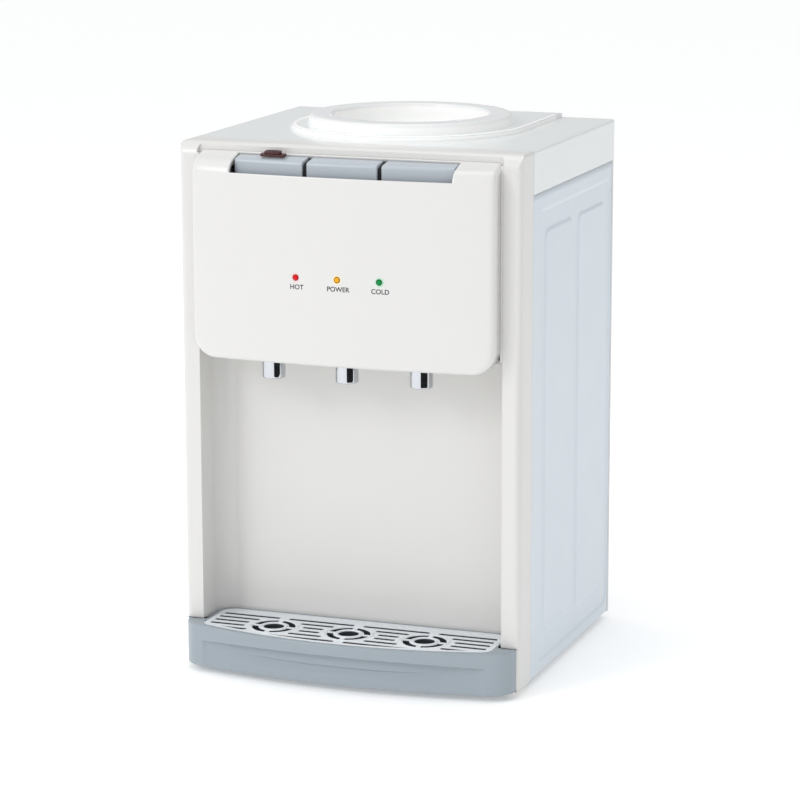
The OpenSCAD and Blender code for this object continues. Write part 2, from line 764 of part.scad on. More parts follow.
// ---- buttons ----
button_w = tap_pitch - button_gap * 1.5;
button_front = yf - fascia_out + button_setback;
button_low = zt - slot_low - 17;
button_back = yf + pocket_d - slot_rim - 0.9;
button_tilt = 9;
button_corner = zt - 11.4;
arm_x = 18;
arm_w = 5;
boss_r = 4;
module button_side(inset) {
    r = 3 - inset;
    front = button_front + inset;
    corner = button_corner - inset;
    back = button_back - inset;
    run_in = max(r, 0.4) * tan((90 - button_tilt) / 2);
    polygon(concat([[back, button_low - (inset > 0 ? 1 : 0)],
        [front, button_low - (inset > 0 ? 1 : 0)]],
        arc([front + max(r, 0.4), corner - run_in], max(r, 0.4), 180, 90 + button_tilt, 6),
        [[back, corner + (back - front) * tan(button_tilt)]]));
}

module button_block(x0, x1, inset) {
    intersection() {
        along_x(x0, x1) button_side(inset);
        at_z(button_low - 2, zt) polygon(bowed(1.5 * tap_pitch, button_front + inset,
            fascia_R - button_setback - inset, 1, yf + 20, 1));
    }
}

lock_x = -tap_pitch + 1.5;
lock_y = yf - 3;
lock_z = button_corner + (lock_y - button_front) * tan(button_tilt);
lock_travel = 4;
module button(i) {
    x0 = i * tap_pitch - button_w / 2;
    x1 = x0 + button_w;
    color("lightslategray") difference() {
        union() {
            button_block(x0, x1, 0);
            for (s = [-1, 1]) translate([i * tap_pitch + s * arm_x - arm_w / 2, 0, 0]) {
                bar([0, arm_w], [button_back - 2, pivot_y], [pivot_z - 3, pivot_z + 3]);
                translate([0, pivot_y, pivot_z]) rotate([0, 90, 0])
                    cylinder(r = boss_r, h = arm_w);
            }
        }
        difference() {
            button_block(x0 + 2, x1 - 2, 2.2);
            // pad over the plunger
            translate([i * tap_pitch, tap_y, 0]) rod(4.6, z_pad, zt);
            for (s = [-1, 1]) bar([i * tap_pitch + s * arm_x - 1, i * tap_pitch + s * arm_x + 1],
                [button_front, yf + 9], [z_pad + 4, zt]);
        }
        translate([x0 - 1, pivot_y, pivot_z]) rotate([0, 90, 0])
            cylinder(r = rod_r + run, h = button_w + 2);
        // room for the plunger's head in the back wall
        translate([i * tap_pitch, tap_y, 0]) rod(plunger_r + 1.2, button_low - 2, z_pad);
        // slot for the lock's stem, and the room its foot slides in
        if (i == -1) translate([lock_x, lock_y, lock_z]) rotate([button_tilt, 0, 0]) {
            bar([-3.4, 3.4], [-2.2 - lock_travel, 2.2], [-4, 3]);
            bar([-5.1, 5.1], [-2.3 - lock_travel, 2.3], [-5.1, -2.8]);
        }
    }
}

module button_rod() {
    x1 = 1.5 * tap_pitch + 4;
    color("silver") translate([-x1, pivot_y, pivot_z]) rotate([0, 90, 0])
        cylinder(r = rod_r, h = 2 * x1);
}

guide_z = pivot_z - 28;
module button_bracket() {
    x1 = 1.5 * tap_pitch + 4;
    y1 = yf + 22;
    color("whitesmoke") difference() {
        union() {
            bar([-x1, x1], [y1 - wall, y1], [guide_z, pivot_z + 10]);
            bar([-x1, x1], [tap_y - 7, y1], [guide_z, guide_z + 2]);
            for (x = [-1.5, -0.5, 0.5, 1.5])
                translate([x * tap_pitch - 1.5 + sign(x) * (abs(x) > 1 ? 2 : 0), 0, 0])
                bar([0, 3], [yf + pocket_d + wall + 0.2, y1], [pivot_z - 6, pivot_z + 5]);
        }
        translate([-x1 - 1, pivot_y, pivot_z]) rotate([0, 90, 0])
            cylinder(r = rod_r + run, h = 2 * x1 + 2);
        for (i = TAPS) translate([i * tap_pitch, tap_y, 0])
            rod(stem_r + run, guide_z - 1, guide_z + 3);
    }
}

module child_lock() {
    color("firebrick") translate([lock_x, lock_y, lock_z]) rotate([button_tilt, 0, 0]) {
        bar([-10.5, 10.5], [-3, 3], [0.3, 3]);
        bar([-7, 7], [-2.6, 2.6], [2.9, 5]);
        bar([-3, 3], [-1.8, 1.8], [-3.4, 0.4]);
        bar([-4.6, 4.6], [-1.8, 1.8], [-4.6, -3.3]);
    }
}

// ---- indicator lights ----
board_y = yf - fascia_out + wall + 8;
module led_board() {
    color("seagreen") difference() {
        union() {
            bar([-led_pitch - 12, led_pitch + 12], [board_y, board_y + 1.6],
                [z_led - 11, z_led + 11]);
            for (s = [-1, 1]) translate([s * (led_pitch + 7), 0, 0])
                rod_y(3, yf - fascia_out + wall + 1.6, board_y + e, z_led);
            bar([-7, 7], [board_y + 1.5, board_y + 8], [z_led - 9, z_led - 3]);
        }
        for (s = [-1, 1]) translate([s * (led_pitch + 7), 0, 0])
            rod_y(1.2, board_y - 4, board_y + 3, z_led);
    }
}

module led(i, hue) {
    tip = yf - fascia_out + i * i * led_pitch * led_pitch / (2 * fascia_R) - 0.4;
    color(hue) translate([i * led_pitch, 0, 0]) {
        rod_y(led_r, tip + 1.5, board_y - 0.1, z_led);
        rod_y(led_r + 0.5, board_y - 1.2, board_y - 0.1, z_led);
        intersection() {
            translate([0, tip + led_r, z_led]) sphere(led_r);
            rod_y(led_r, tip, tip + 2, z_led);
        }
    }
}

// ---- cold tank, its lid, insulation and bracket ----
foam = 17;
foam_low = z_tank - foam;
bracket_z = foam_low - 1.2;
spigot_low = bracket_z - 12;
cold_out = [25, seat_y - 25];
ambient_out = [0, seat_y - 36];
feed_out = [-25, seat_y + 8];
TANK_OUTLETS = [cold_out, ambient_out, feed_out];
module cold_tank() {
    color("silver") difference() {
        union() {
            translate([0, seat_y, 0]) {
                rod(cold_r, z_tank, z_tank + cold_h);
                rod(cold_r + 3, z_tank + cold_h - 1, z_tank + cold_h);
            }
            for (p = TANK_OUTLETS) translate(p) rod(barb_r, spigot_low, z_tank + 1);
        }
        translate([0, seat_y, 0]) rod(cold_r - 1, z_tank + 1, z_tank + cold_h + 1);
        for (p = TANK_OUTLETS) translate(p) rod(barb_in, spigot_low - 1, z_tank + 2);
    }
}

module tank_lid() {
    z = z_tank + cold_h;
    color("whitesmoke") translate([0, seat_y, 0]) difference() {
        union() {
            rod(cold_r + 3, z + 0.1, z + 3);
            rod(cold_r - 1.4, z - 6, z + 1);
        }
        rod(cold_r - 3.4, z - 7, z + 0.2);
        rod(neck_r + wall + 1, z - 7, z + 4);
    }
}

block_y = seat_y + cold_r + 13;
module foam_body() {
    z1 = z_tank + cold_h - 1.2;
    difference() {
        intersection() {
            translate([0, seat_y, 0]) rod(cold_r + foam, foam_low, z1);
            bar([-half_w, half_w], [yf, block_y - 0.6], [0, zt]);
        }
        translate([0, seat_y, 0]) rod(cold_r + 0.4, z_tank - 0.2, z1 + 1);
        for (p = TANK_OUTLETS) translate(p) rod(barb_r + 1, foam_low - 1, z_tank + 1);
        bar([-25.5, 25.5], [seat_y, yr], [fan_z - 25.5, fan_z + 25.5]);
    }
}

module insulation(s) {
    color("ivory") intersection() {
        foam_body();
        bar([s < 0 ? -half_w : 0.1, s < 0 ? -0.1 : half_w], [yf, yr], [0, zt]);
    }
}

module tank_bracket() {
    x1 = half_w - panel_inset - sheet - emboss - 0.5;
    y = [seat_y - cold_r - foam - 6, block_y - 4];
    color("silver") {
        difference() {
            bar([-x1, x1], y, [bracket_z, bracket_z + 1]);
            for (p = TANK_OUTLETS) translate(p) rod(8, bracket_z - 1, bracket_z + 2);
        }
        for (s = [-1, 1]) bar([s < 0 ? -x1 : x1 - 1, s < 0 ? -x1 + 1 : x1], y,
            [bracket_z, bracket_z + 16]);
        bar([-x1, x1], [y[0], y[0] + 1], [bracket_z - 9, bracket_z + e]);
    }
}

// ---- thermoelectric cooler: block, module, heat sink and fan ----
module_t = 3.8;
sink_y = block_y + module_t + 0.1;
fan_y1 = fan_y0 + fan_t;
fan_hole_r = fan_w / 2 - 2.5;
module cold_block() {
    color("silver") difference() {
        bar([-25, 25], [seat_y + cold_r - 6, block_y], [fan_z - 25, fan_z + 25]);
        translate([0, seat_y, 0]) rod(cold_r + 0.05, fan_z - 26, fan_z + 26);
    }
}

module cooling_module() {
    color("white") bar([-20, 20], [block_y + 0.05, sink_y - 0.05], [fan_z - 20, fan_z + 20]);
}

module heat_sink() {
    side = fan_w + 4;
    pitch = side / 16;
    color("silver") {
        bar([-side / 2, side / 2], [sink_y, sink_y + 4], [fan_z - side / 2, fan_z + side / 2]);
        for (k = [0:16]) bar([k * pitch - side / 2 - (k == 16 ? 1.2 : 0),
            k * pitch - side / 2 + (k == 16 ? 0 : 1.2)], [sink_y + 4 - e, fan_y0 - 0.5],
            [fan_z - side / 2, fan_z + side / 2]);
    }
}

hub_r = 17;
fan_pin_r = 1.5;
fan_run = 0.06;                          // the rotor's radial running clearance
module fan_frame() {
    color("dimgray") {
        along_y(fan_y0, fan_y1) translate([0, fan_z]) difference() {
            rounded_rect(fan_w, fan_w, 4);
            circle(fan_hole_r);
            for (sx = [-1, 1], sz = [-1, 1])
                translate([sx, sz] * (fan_w / 2 - 4.8)) circle(2.1);
        }
        along_y(fan_y1 - 2.6, fan_y1) translate([0, fan_z]) {
            circle(hub_r);
            for (a = [45, 135]) rotate(a) square([2 * fan_hole_r + 1, 4], center = true);
        }
        rod_y(fan_pin_r, fan_y0 + 2, fan_y1 - 2, fan_z);
    }
}

module fan_rotor() {
    blades = 7;
    y = [fan_y0 + 1.4, fan_y1 - 3.4];
    color("black") difference() {
        union() {
            rod_y(hub_r - 1, y[0], y[1], fan_z);
            intersection() {
                for (k = [0:blades - 1]) translate([0, (y[0] + y[1]) / 2, fan_z])
                    rotate([0, k * 360 / blades, 0]) translate([hub_r - 3, 0, 0])
                        rotate([38, 0, 0]) bar([0, fan_hole_r], [-0.8, 0.8], [-12, 12]);
                rod_y(fan_hole_r - 1.2, y[0], y[1], fan_z);
            }
        }
        rod_y(fan_pin_r + fan_run, y[0] - 1, y[1] + 1, fan_z);
    }
}

// ---- hot tank ----
hot_x = -70;
hot_y = seat_y - 3;
z_hot = z0 + 74;
hot_top = [hot_x, hot_y - 22];
hot_in = [hot_x + 22, hot_y + 11];
hot_drain = [hot_x, hot_y + 24];
barb_len = 15;
module hot_tank() {
    color("silver") difference() {
        union() {
            translate([hot_x, hot_y, 0]) rotate_extrude() polygon(concat(
                [[0, z_hot]], arc([hot_r - 5, z_hot + 5], 5, -90, 0, 6),
                arc([hot_r - 5, z_hot + hot_h - 5], 5, 0, 90, 6), [[0, z_hot + hot_h]]));
            translate(hot_top) rod(barb_r, z_hot + hot_h - 2, z_hot + hot_h + barb_len);
            for (p = [hot_in, hot_drain]) translate(p)
                rod(barb_r, z_hot - barb_len, z_hot + 2);
        }
        translate([hot_x, hot_y, 0]) rod(hot_r - 1.2, z_hot + 6, z_hot + hot_h - 6);
        translate(hot_top) rod(barb_in, z_hot + hot_h - 8, z_hot + hot_h + barb_len + 1);
        for (p = [hot_in, hot_drain]) translate(p)
            rod(barb_in, z_hot - barb_len - 1, z_hot + 8);
    }
}

band_r = hot_r + 4;
jacket_t = 8;                            // foam round the hot tank
module heater_band() {
    z = [z_hot + 22, z_hot + 62];
    color("goldenrod") difference() {
        translate([hot_x, hot_y, 0]) rod(band_r, z[0], z[1]);
        translate([hot_x, hot_y, 0]) rod(hot_r + 0.1, z[0] - 1, z[1] + 1);
        bar([hot_x - 1.5, hot_x + 1.5], [hot_y - band_r - 1, hot_y], [z[0] - 1, z[1] + 1]);
    }
}

module hot_jacket() {
    z = [z_hot + 6, z_hot + hot_h - 6];
    color("whitesmoke") translate([hot_x, hot_y, 0]) difference() {
        rod(band_r + jacket_t, z[0], z[1]);
        rod(band_r + 0.4, z[0] - 1, z[1] + 1);
    }
}

module hot_stand() {
    color("silver") translate([hot_x, hot_y, 0]) {
        difference() {
            rod(hot_r + 6, z_hot - 2.2, z_hot - 0.2);
            rod(hot_r - 7, z_hot - 3, z_hot + 1);
        }
        for (a = [45:90:315]) rotate(a) translate([hot_r + 2, 0, 0])
            rod(3, z0 + sheet + 0.1, z_hot - 2);
    }
}

module thermostats() {
    for (p = [[-14, 8], [14, 8]]) translate([hot_x + p[0], hot_y + p[1], 0]) color("black") {
        rod(8, z_hot + hot_h + 0.1, z_hot + hot_h + 7);
        for (s = [-1, 1]) bar([s * 4 - 0.4, s * 4 + 0.4], [-3, 3],
            [z_hot + hot_h + 6, z_hot + hot_h + 15]);
    }
}

// ---- silicone tubes ----
hose_r = 5.4;
hose_in = barb_r + 0.2;
riser_y = yf + alcove_d + wall + 12;     // behind the alcove's back
run_z = spigot_low - 12;
hot_run_z = z_hot + hot_h + barb_len + 18;
module hose(route, bend) {
    color("gainsboro") swept(rounded_route(route, bend, 6), hose_r, hose_in / cos(15), 12);
}

module tube_cold() {
    hose([[tap_pitch, barb_end - 9, z_inlet], [tap_pitch, riser_y, z_inlet],
        [tap_pitch, riser_y, run_z], [cold_out[0], cold_out[1], run_z],
        [cold_out[0], cold_out[1], spigot_low + 9]], 12);
}

module tube_ambient() {
    hose([[0, barb_end - 9, z_inlet], [0, riser_y, z_inlet], [0, riser_y, run_z],
        [0, ambient_out[1], run_z], [0, ambient_out[1], spigot_low + 9]], 12);
}

module tube_hot() {
    hose([[-tap_pitch, barb_end - 9, z_inlet], [-tap_pitch, riser_y, z_inlet],
        [-tap_pitch, riser_y, hot_run_z], [hot_top[0], hot_top[1], hot_run_z],
        [hot_top[0], hot_top[1], z_hot + hot_h + barb_len - 9]], 12);
}

module tube_feed() {
    hose([[feed_out[0], feed_out[1], spigot_low + 9], [feed_out[0], feed_out[1], run_z - 8],
        [0, feed_out[1], run_z - 40], [0, feed_out[1], z0 + 34],
        [hot_in[0], hot_in[1], z0 + 34], [hot_in[0], hot_in[1], z_hot - barb_len + 9]], 12);
}

module tube_drain() {
    hose([[hot_drain[0], hot_drain[1], z_hot - barb_len + 9],
        [hot_drain[0], hot_drain[1], drain_z], [drain_x, yp - 28, drain_z]], 12);
}

// ---- electrics ----
psu_x = [36, 132];
psu_y = [seat_y - 84, seat_y - 18];
module power_supply() {
    z = [z0 + sheet + 0.3, z0 + 46];
    color("silver") difference() {
        bar(psu_x, psu_y, z);
        bar([psu_x[0] + 1, psu_x[1] - 1], [psu_y[0] + 1, psu_y[1] - 1], [z[0] + 1, z[1] - 1]);
        for (k = [0:9]) bar([psu_x[0] + 10 + k * 8, psu_x[0] + 13 + k * 8],
            [psu_y[0] + 10, psu_y[1] - 10], [z[1] - 2, z[1] + 1]);
        for (k = [0:5]) bar([psu_x[0] - 1, psu_x[0] + 2],
            [psu_y[0] + 10 + k * 8, psu_y[0] + 13 + k * 8], [z[0] + 10, z[1] - 10]);
    }
}

rocker_half = [5, 6.4];                  // half its width, half its length
rocker_rest = -8;                        // its tilt in the position it rests in
rocker_pin_y = yp - 4;
rocker_pin_r = 1.2;
module switch_housings() {
    color("black") for (x = switch_x) translate([x, 0, switch_z]) difference() {
        union() {
            bar([-switch_cut[1] / 2 + 0.2, switch_cut[1] / 2 - 0.2], [yp - 16, yp + e],
                [-switch_cut[0] / 2 + 0.2, switch_cut[0] / 2 - 0.2]);
            bar([-switch_cut[1] / 2 - 1, switch_cut[1] / 2 + 1], [yp, yp + 1.4],
                [-switch_cut[0] / 2 - 1, switch_cut[0] / 2 + 1]);
            for (z = [-5, 5]) bar([-2.4, 2.4], [yp - 24, yp - 15], [z - 0.4, z + 0.4]);
        }
        bar([-rocker_half[0] - 0.3, rocker_half[0] + 0.3], [yp - 11, yp + 2], [-8.5, 8.5]);
        translate([-6.2, rocker_pin_y, 0]) rotate([0, 90, 0])
            cylinder(r = rocker_pin_r + run, h = 12.4);
    }
}

module rocker(x) {
    h = rocker_half;
    color("firebrick") translate([x, rocker_pin_y, switch_z]) rotate([rocker_rest, 0, 0]) {
        rotate([90, 0, 90]) translate([0, 0, -h[0]]) linear_extrude(2 * h[0])
            polygon([[-4, -3.4], [5.2, -h[1]], [4.2, 0], [5.2, h[1]], [-4, 3.4]]);
        translate([-h[0] - 1, 0, 0]) rotate([0, 90, 0])
            cylinder(r = rocker_pin_r, h = 2 * h[0] + 2);
    }
}

module power_inlet() {
    w = inlet_cut[0] / 2 - 0.2;
    h = inlet_cut[1] / 2 - 0.2;
    color("black") translate([inlet_x, 0, inlet_z]) {
        difference() {
            union() {
                bar([-w, w], [yp - 22, yp + e], [-h, h]);
                bar([-w - 2, w + 2], [yp, yp + 2], [-h - 2, h + 2]);
            }
            bar([-w + 2, w - 2], [yp - 17, yp + 3], [-h + 2, h - 2]);
        }
        for (p = [[-6, -1], [0, 2], [6, -1]])
            bar([p[0] - 1, p[0] + 1], [yp - 18, yp - 3], [p[1] - 2, p[1] + 2]);
    }
}

// ---- drain ----
cap_r = 7.8;
module drain_spigot() {
    color("whitesmoke") translate([drain_x, 0, 0]) difference() {
        union() {
            rod_y(10.5, yp - 20, yp - sheet - 0.2, drain_z);
            rod_y(13, yp - sheet - 3, yp - sheet - 0.2, drain_z);
            rod_y(barb_r, yp - 37, yp - 19, drain_z);
        }
        rod_y(cap_r + 0.25, yp - 13, yp, drain_z);
        rod_y(barb_in, yp - 38, yp - 12, drain_z);
    }
}

module drain_cap() {
    color("dodgerblue") translate([drain_x, 0, 0]) difference() {
        union() {
            rod_y(cap_r, yp - 12.4, yp + 1.5, drain_z);
            rod_y(cap_r + 3, yp + 0.3, yp + 3, drain_z);
        }
        bar([-1, 1], [yp + 1.6, yp + 4], [drain_z - 8, drain_z + 8]);
    }
}

// ---- screws of the rear panel ----
module cover_screws() {
    color("silver") for (p = rear_screws) translate([p[0], 0, 0]) difference() {
        union() {
            rod_y(screw_r - 0.1, yp - 9, yp + 0.5, p[1]);
            rod_y(3.6, yp + 0.02, yp + 1.9, p[1]);
        }
        for (a = [0, 90]) translate([0, yp + 1, p[1]]) rotate([0, a, 0])
            bar([-2.2, 2.2], [0, 2], [-0.45, 0.45]);
    }
}

front_panel();
fascia();
top_cover();
bottle_collar();
side_panel(-1);  // side_panel_left
side_panel(1);  // side_panel_right
rear_panel();
base_plate();
feet();
drip_tray();
drip_grille();
tap_shelf();
tap_bodies();
spout(-1);  // spout_hot
spout(0);  // spout_ambient
spout(1);  // spout_cold
plunger(-1);  // plunger_hot
plunger(0);  // plunger_ambient
plunger(1);  // plunger_cold
valve_spring(-1);  // spring_hot
valve_spring(0);  // spring_ambient
valve_spring(1);  // spring_cold
button_bracket();
button_rod();
button(-1);  // button_hot
button(0);  // button_ambient
button(1);  // button_cold
child_lock();
led_board();
led(-1, "red");  // led_hot
led(0, "orange");  // led_power
led(1, "limegreen");  // led_cold
cold_tank();
tank_lid();
insulation(-1);  // insulation_left
insulation(1);  // insulation_right
tank_bracket();
cold_block();
cooling_module();
heat_sink();
fan_frame();
fan_rotor();
hot_tank();
heater_band();
hot_jacket();
hot_stand();
thermostats();
tube_cold();
tube_ambient();
tube_hot();
tube_feed();
tube_drain();
power_supply();
switch_housings();
rocker(switch_x[0]);  // rocker_heat
rocker(switch_x[1]);  // rocker_cool
power_inlet();
drain_spigot();
drain_cap();
cover_screws();
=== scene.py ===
"""Looks of a countertop water dispenser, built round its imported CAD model.

Sizes inside the classes are millimetres in the model's own frame: +X right, -Y
towards the user, +Z up. Surfaces are worked out as whole arrays and turned into
metres only when a piece is made.
"""

import json
import logging
import math
from dataclasses import dataclass
from enum import Enum
from typing import Callable, Sequence

import bmesh
import bpy
import numpy as np
from mathutils import Matrix, Vector


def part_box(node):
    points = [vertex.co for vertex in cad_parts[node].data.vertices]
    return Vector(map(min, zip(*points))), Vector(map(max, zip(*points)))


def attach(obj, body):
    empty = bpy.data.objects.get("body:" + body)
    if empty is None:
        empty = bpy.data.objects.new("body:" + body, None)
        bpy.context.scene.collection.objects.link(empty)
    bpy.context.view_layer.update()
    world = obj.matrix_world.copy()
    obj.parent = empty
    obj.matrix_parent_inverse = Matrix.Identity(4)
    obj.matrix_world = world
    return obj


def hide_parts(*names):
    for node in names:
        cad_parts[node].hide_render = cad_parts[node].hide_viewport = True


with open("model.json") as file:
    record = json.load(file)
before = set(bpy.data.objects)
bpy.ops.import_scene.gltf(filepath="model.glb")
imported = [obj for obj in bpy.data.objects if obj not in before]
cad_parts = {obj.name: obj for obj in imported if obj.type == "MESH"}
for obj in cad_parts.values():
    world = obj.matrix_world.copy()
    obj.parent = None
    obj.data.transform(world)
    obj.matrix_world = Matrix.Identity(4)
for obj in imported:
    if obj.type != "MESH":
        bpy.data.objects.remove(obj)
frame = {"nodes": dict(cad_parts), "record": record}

LOG = logging.getLogger("dispenser")
Array = np.ndarray
MM = 0.001
# Points nearer than this, in metres, are one point.
MERGE = 2e-6


# ---------------------------------------------------------------- small maths
def box_mm(node: str) -> tuple[Array, Array]:
    """Gives a CAD node's lowest and highest corners in millimetres.

    Args:
        node: Name of the CAD node.

    Returns:
        Two arrays of three numbers.
    """
    low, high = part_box(node)
    return np.array(low) / MM, np.array(high) / MM


def smooth(x: Array) -> Array:
    """Eases 0..1 with the cubic 3x^2 - 2x^3, held flat outside."""
    x = np.clip(x, 0.0, 1.0)
    return x * x * (3.0 - 2.0 * x)


def spread(*stops: tuple[float, float, int]) -> Array:
    """Joins evenly spaced stretches into one rising list of places.

    Args:
        stops: Stretches as (start, end, number of steps).

    Returns:
        The places in order, with shared ends kept once.
    """
    return np.unique(np.round(np.concatenate(
        [np.linspace(a, b, n + 1) for a, b, n in stops]), 6))


def apart(line: Array, least: float = 0.45) -> Array:
    """Drops the numbers of a rising line that follow another too closely.

    Args:
        line: Rising numbers.
        least: Smallest step that is kept.

    Returns:
        The line with both its ends and no slivers between.
    """
    cell = np.floor((line - line[0]) / least)
    first = np.r_[True, np.diff(cell) > 0]
    kept = line[first]
    kept = kept[np.r_[True, np.diff(kept) > 0.5 * least]]
    return np.r_[kept[kept < line[-1] - 0.5 * least], line[-1]]


def outward(loop: Array) -> Array:
    """Gives each point of a closed anticlockwise loop its outward mitred normal.

    The normals of the two sides that meet at a point are added and divided by one
    plus their dot product, so a point moved by d moves both sides by d.

    Args:
        loop: Points x 2.

    Returns:
        Normals, points x 2.
    """
    side = np.roll(loop, -1, 0) - loop
    side /= np.maximum(np.linalg.norm(side, axis=1, keepdims=True), 1e-9)
    after = np.stack([side[:, 1], -side[:, 0]], 1)
    before = np.roll(after, 1, 0)
    return (after + before) / np.maximum(
        1.0 + (after * before).sum(1, keepdims=True), 0.4)


def rounded(corners: Sequence[tuple[float, float, float]], steps: int = 8) -> Array:
    """Rounds the corners of a polygon with arcs tangent to both sides.

    Args:
        corners: Anticlockwise corners as (x, y, radius).
        steps: Chords in each arc.

    Returns:
        Points x 2.
    """
    out = []
    count = len(corners)
    for i, (x, y, r) in enumerate(corners):
        p = np.array([x, y])
        if r <= 0:
            out.append(p[None])
            continue
        u = np.array(corners[i - 1][:2]) - p
        v = np.array(corners[(i + 1) % count][:2]) - p
        u, v = u / np.linalg.norm(u), v / np.linalg.norm(v)
        half = math.acos(np.clip(u @ v, -1, 1)) / 2
        centre = p + (u + v) / np.linalg.norm(u + v) * r / math.sin(half)
        a = p + u * r / math.tan(half) - centre
        b = p + v * r / math.tan(half) - centre
        turn = math.pi - 2 * half
        f = np.linspace(0, 1, steps + 1)[:, None]
        out.append(centre + (np.sin((1 - f) * turn) * a + np.sin(f * turn) * b)
                   / math.sin(turn))
    return np.concatenate(out)


def resample(line: Array, count: int, close: bool = False) -> Array:
    """Spaces points evenly by length along a line.

    Args:
        line: Points x 2.
        count: How many points to give, without the last one.
        close: Whether the last point is given as well.

    Returns:
        Points x 2.
    """
    step = np.r_[0, np.cumsum(np.linalg.norm(np.diff(line, axis=0), axis=1))]
    at = np.linspace(0, step[-1], count + 1)
    at = at if close else at[:-1]
    return np.stack([np.interp(at, step, line[:, k]) for k in (0, 1)], 1)


def arc_radius(half: float, sag: float) -> float:
    """Radius of the arc that falls back by sag at half its width."""
    return (half * half + sag * sag) / (2 * sag)


def arc_sag(x: Array, radius: float) -> Array:
    """How far an arc has fallen back at x from its middle."""
    return radius - np.sqrt(radius * radius - x * x)


# ------------------------------------------------------------------- surfaces
class Plane(Enum):
    """Where an outline's two axes and its height point."""

    TOP = (0, 1, 2)
    SIDE = (1, 2, 0)


@dataclass
class Skin:
    """A surface on a grid of rows and columns.

    Attributes:
        points: Rows x columns x 3, in millimetres.
        loop: Whether each row closes on itself.
        round_trip: Whether the last row joins the first.
        caps: Whether flat faces close the first and the last row.
        keep: Which cells have a face, or None for all.
    """

    points: Array
    loop: bool = True
    round_trip: bool = False
    caps: bool = True
    keep: Array | None = None

    def faces(self, first: int) -> list[list[int]]:
        """Lists the faces as point numbers.

        Args:
            first: Number of the skin's first point.

        Returns:
            Each face's point numbers.
        """
        rows, cols = self.points.shape[:2]
        index = np.arange(rows * cols).reshape(rows, cols) + first
        if self.loop:
            index = np.concatenate([index, index[:, :1]], 1)
        if self.round_trip:
            index = np.concatenate([index, index[:1]], 0)
        quads = np.stack([index[:-1, :-1], index[:-1, 1:], index[1:, 1:],
                          index[1:, :-1]], -1)
        chosen = quads[self.keep] if self.keep is not None else quads.reshape(-1, 4)
        out = chosen.tolist()
        if self.caps and self.loop and not self.round_trip:
            out += [index[0, :-1][::-1].tolist(), index[-1, :-1].tolist()]
        return out


def rings(outline: Array, levels: Sequence[tuple[float, float]],
          plane: Plane = Plane.TOP) -> Skin:
    """Stacks copies of an outline, each moved inwards and set at a height.

    Args:
        outline: Closed anticlockwise outline, points x 2.
        levels: (inset, height) of each copy.
        plane: Which way the outline lies.

    Returns:
        The skin, closed at both ends.
    """
    normal = outward(outline)
    rows = np.zeros((len(levels), len(outline), 3))
    for k, (inset, height) in enumerate(levels):
        flat = outline - normal * inset
        rows[k, :, plane.value[0]] = flat[:, 0]
        rows[k, :, plane.value[1]] = flat[:, 1]
        rows[k, :, plane.value[2]] = height
    return Skin(rows)


def soft_levels(low: float, high: float, r: float, steps: int = 4
                ) -> list[tuple[float, float]]:
    """Levels of a block whose lower and upper edges are quarter rounds of r."""
    a = np.linspace(0, math.pi / 2, steps + 1)
    lower = [(r * (1 - math.sin(t)), low + r * (1 - math.cos(t))) for t in a]
    upper = [(r * (1 - math.cos(t)), high - r * (1 - math.sin(t))) for t in a]
    return lower + upper


def block(low: Sequence[float], high: Sequence[float], r: float) -> Skin:
    """A box with every edge rounded by r."""
    return rings(rounded([(low[0], low[1], r), (high[0], low[1], r),
                          (high[0], high[1], r), (low[0], high[1], r)], 4),
                 soft_levels(low[2], high[2], r * 0.9))


def slab(half: tuple[float, float], r: float, ends: tuple[float, float],
         edge: float) -> Skin:
    """A block that stands on the origin.

    Args:
        half: Half its two widths.
        r: Radius of its four upright edges.
        ends: Height of its foot and of its top.
        edge: Radius of its lower and upper edges.

    Returns:
        The skin.
    """
    x, y = half
    return rings(rounded([(-x, -y, r), (x, -y, r), (x, y, r), (-x, y, r)], 5),
                 soft_levels(*ends, edge))


def revolved(profile: Array, centre: Sequence[float], steps: int = 96,
             round_trip: bool = True) -> Skin:
    """Turns a profile of (radius, height) about a vertical axis.

    The point of column j is the centre plus radius times (cos a, sin a), with a
    equal to j shares of a full turn.

    Args:
        profile: Points x 2 of radius and height.
        centre: x and y of the axis.
        steps: Columns round the axis.
        round_trip: Whether the profile closes on itself.

    Returns:
        The skin.
    """
    a = np.linspace(0, 2 * math.pi, steps, endpoint=False)
    r, z = profile[:, 0:1], profile[:, 1:2]
    points = np.stack([centre[0] + r * np.cos(a), centre[1] + r * np.sin(a),
                       z + 0 * a], -1)
    return Skin(points, round_trip=round_trip, caps=not round_trip)


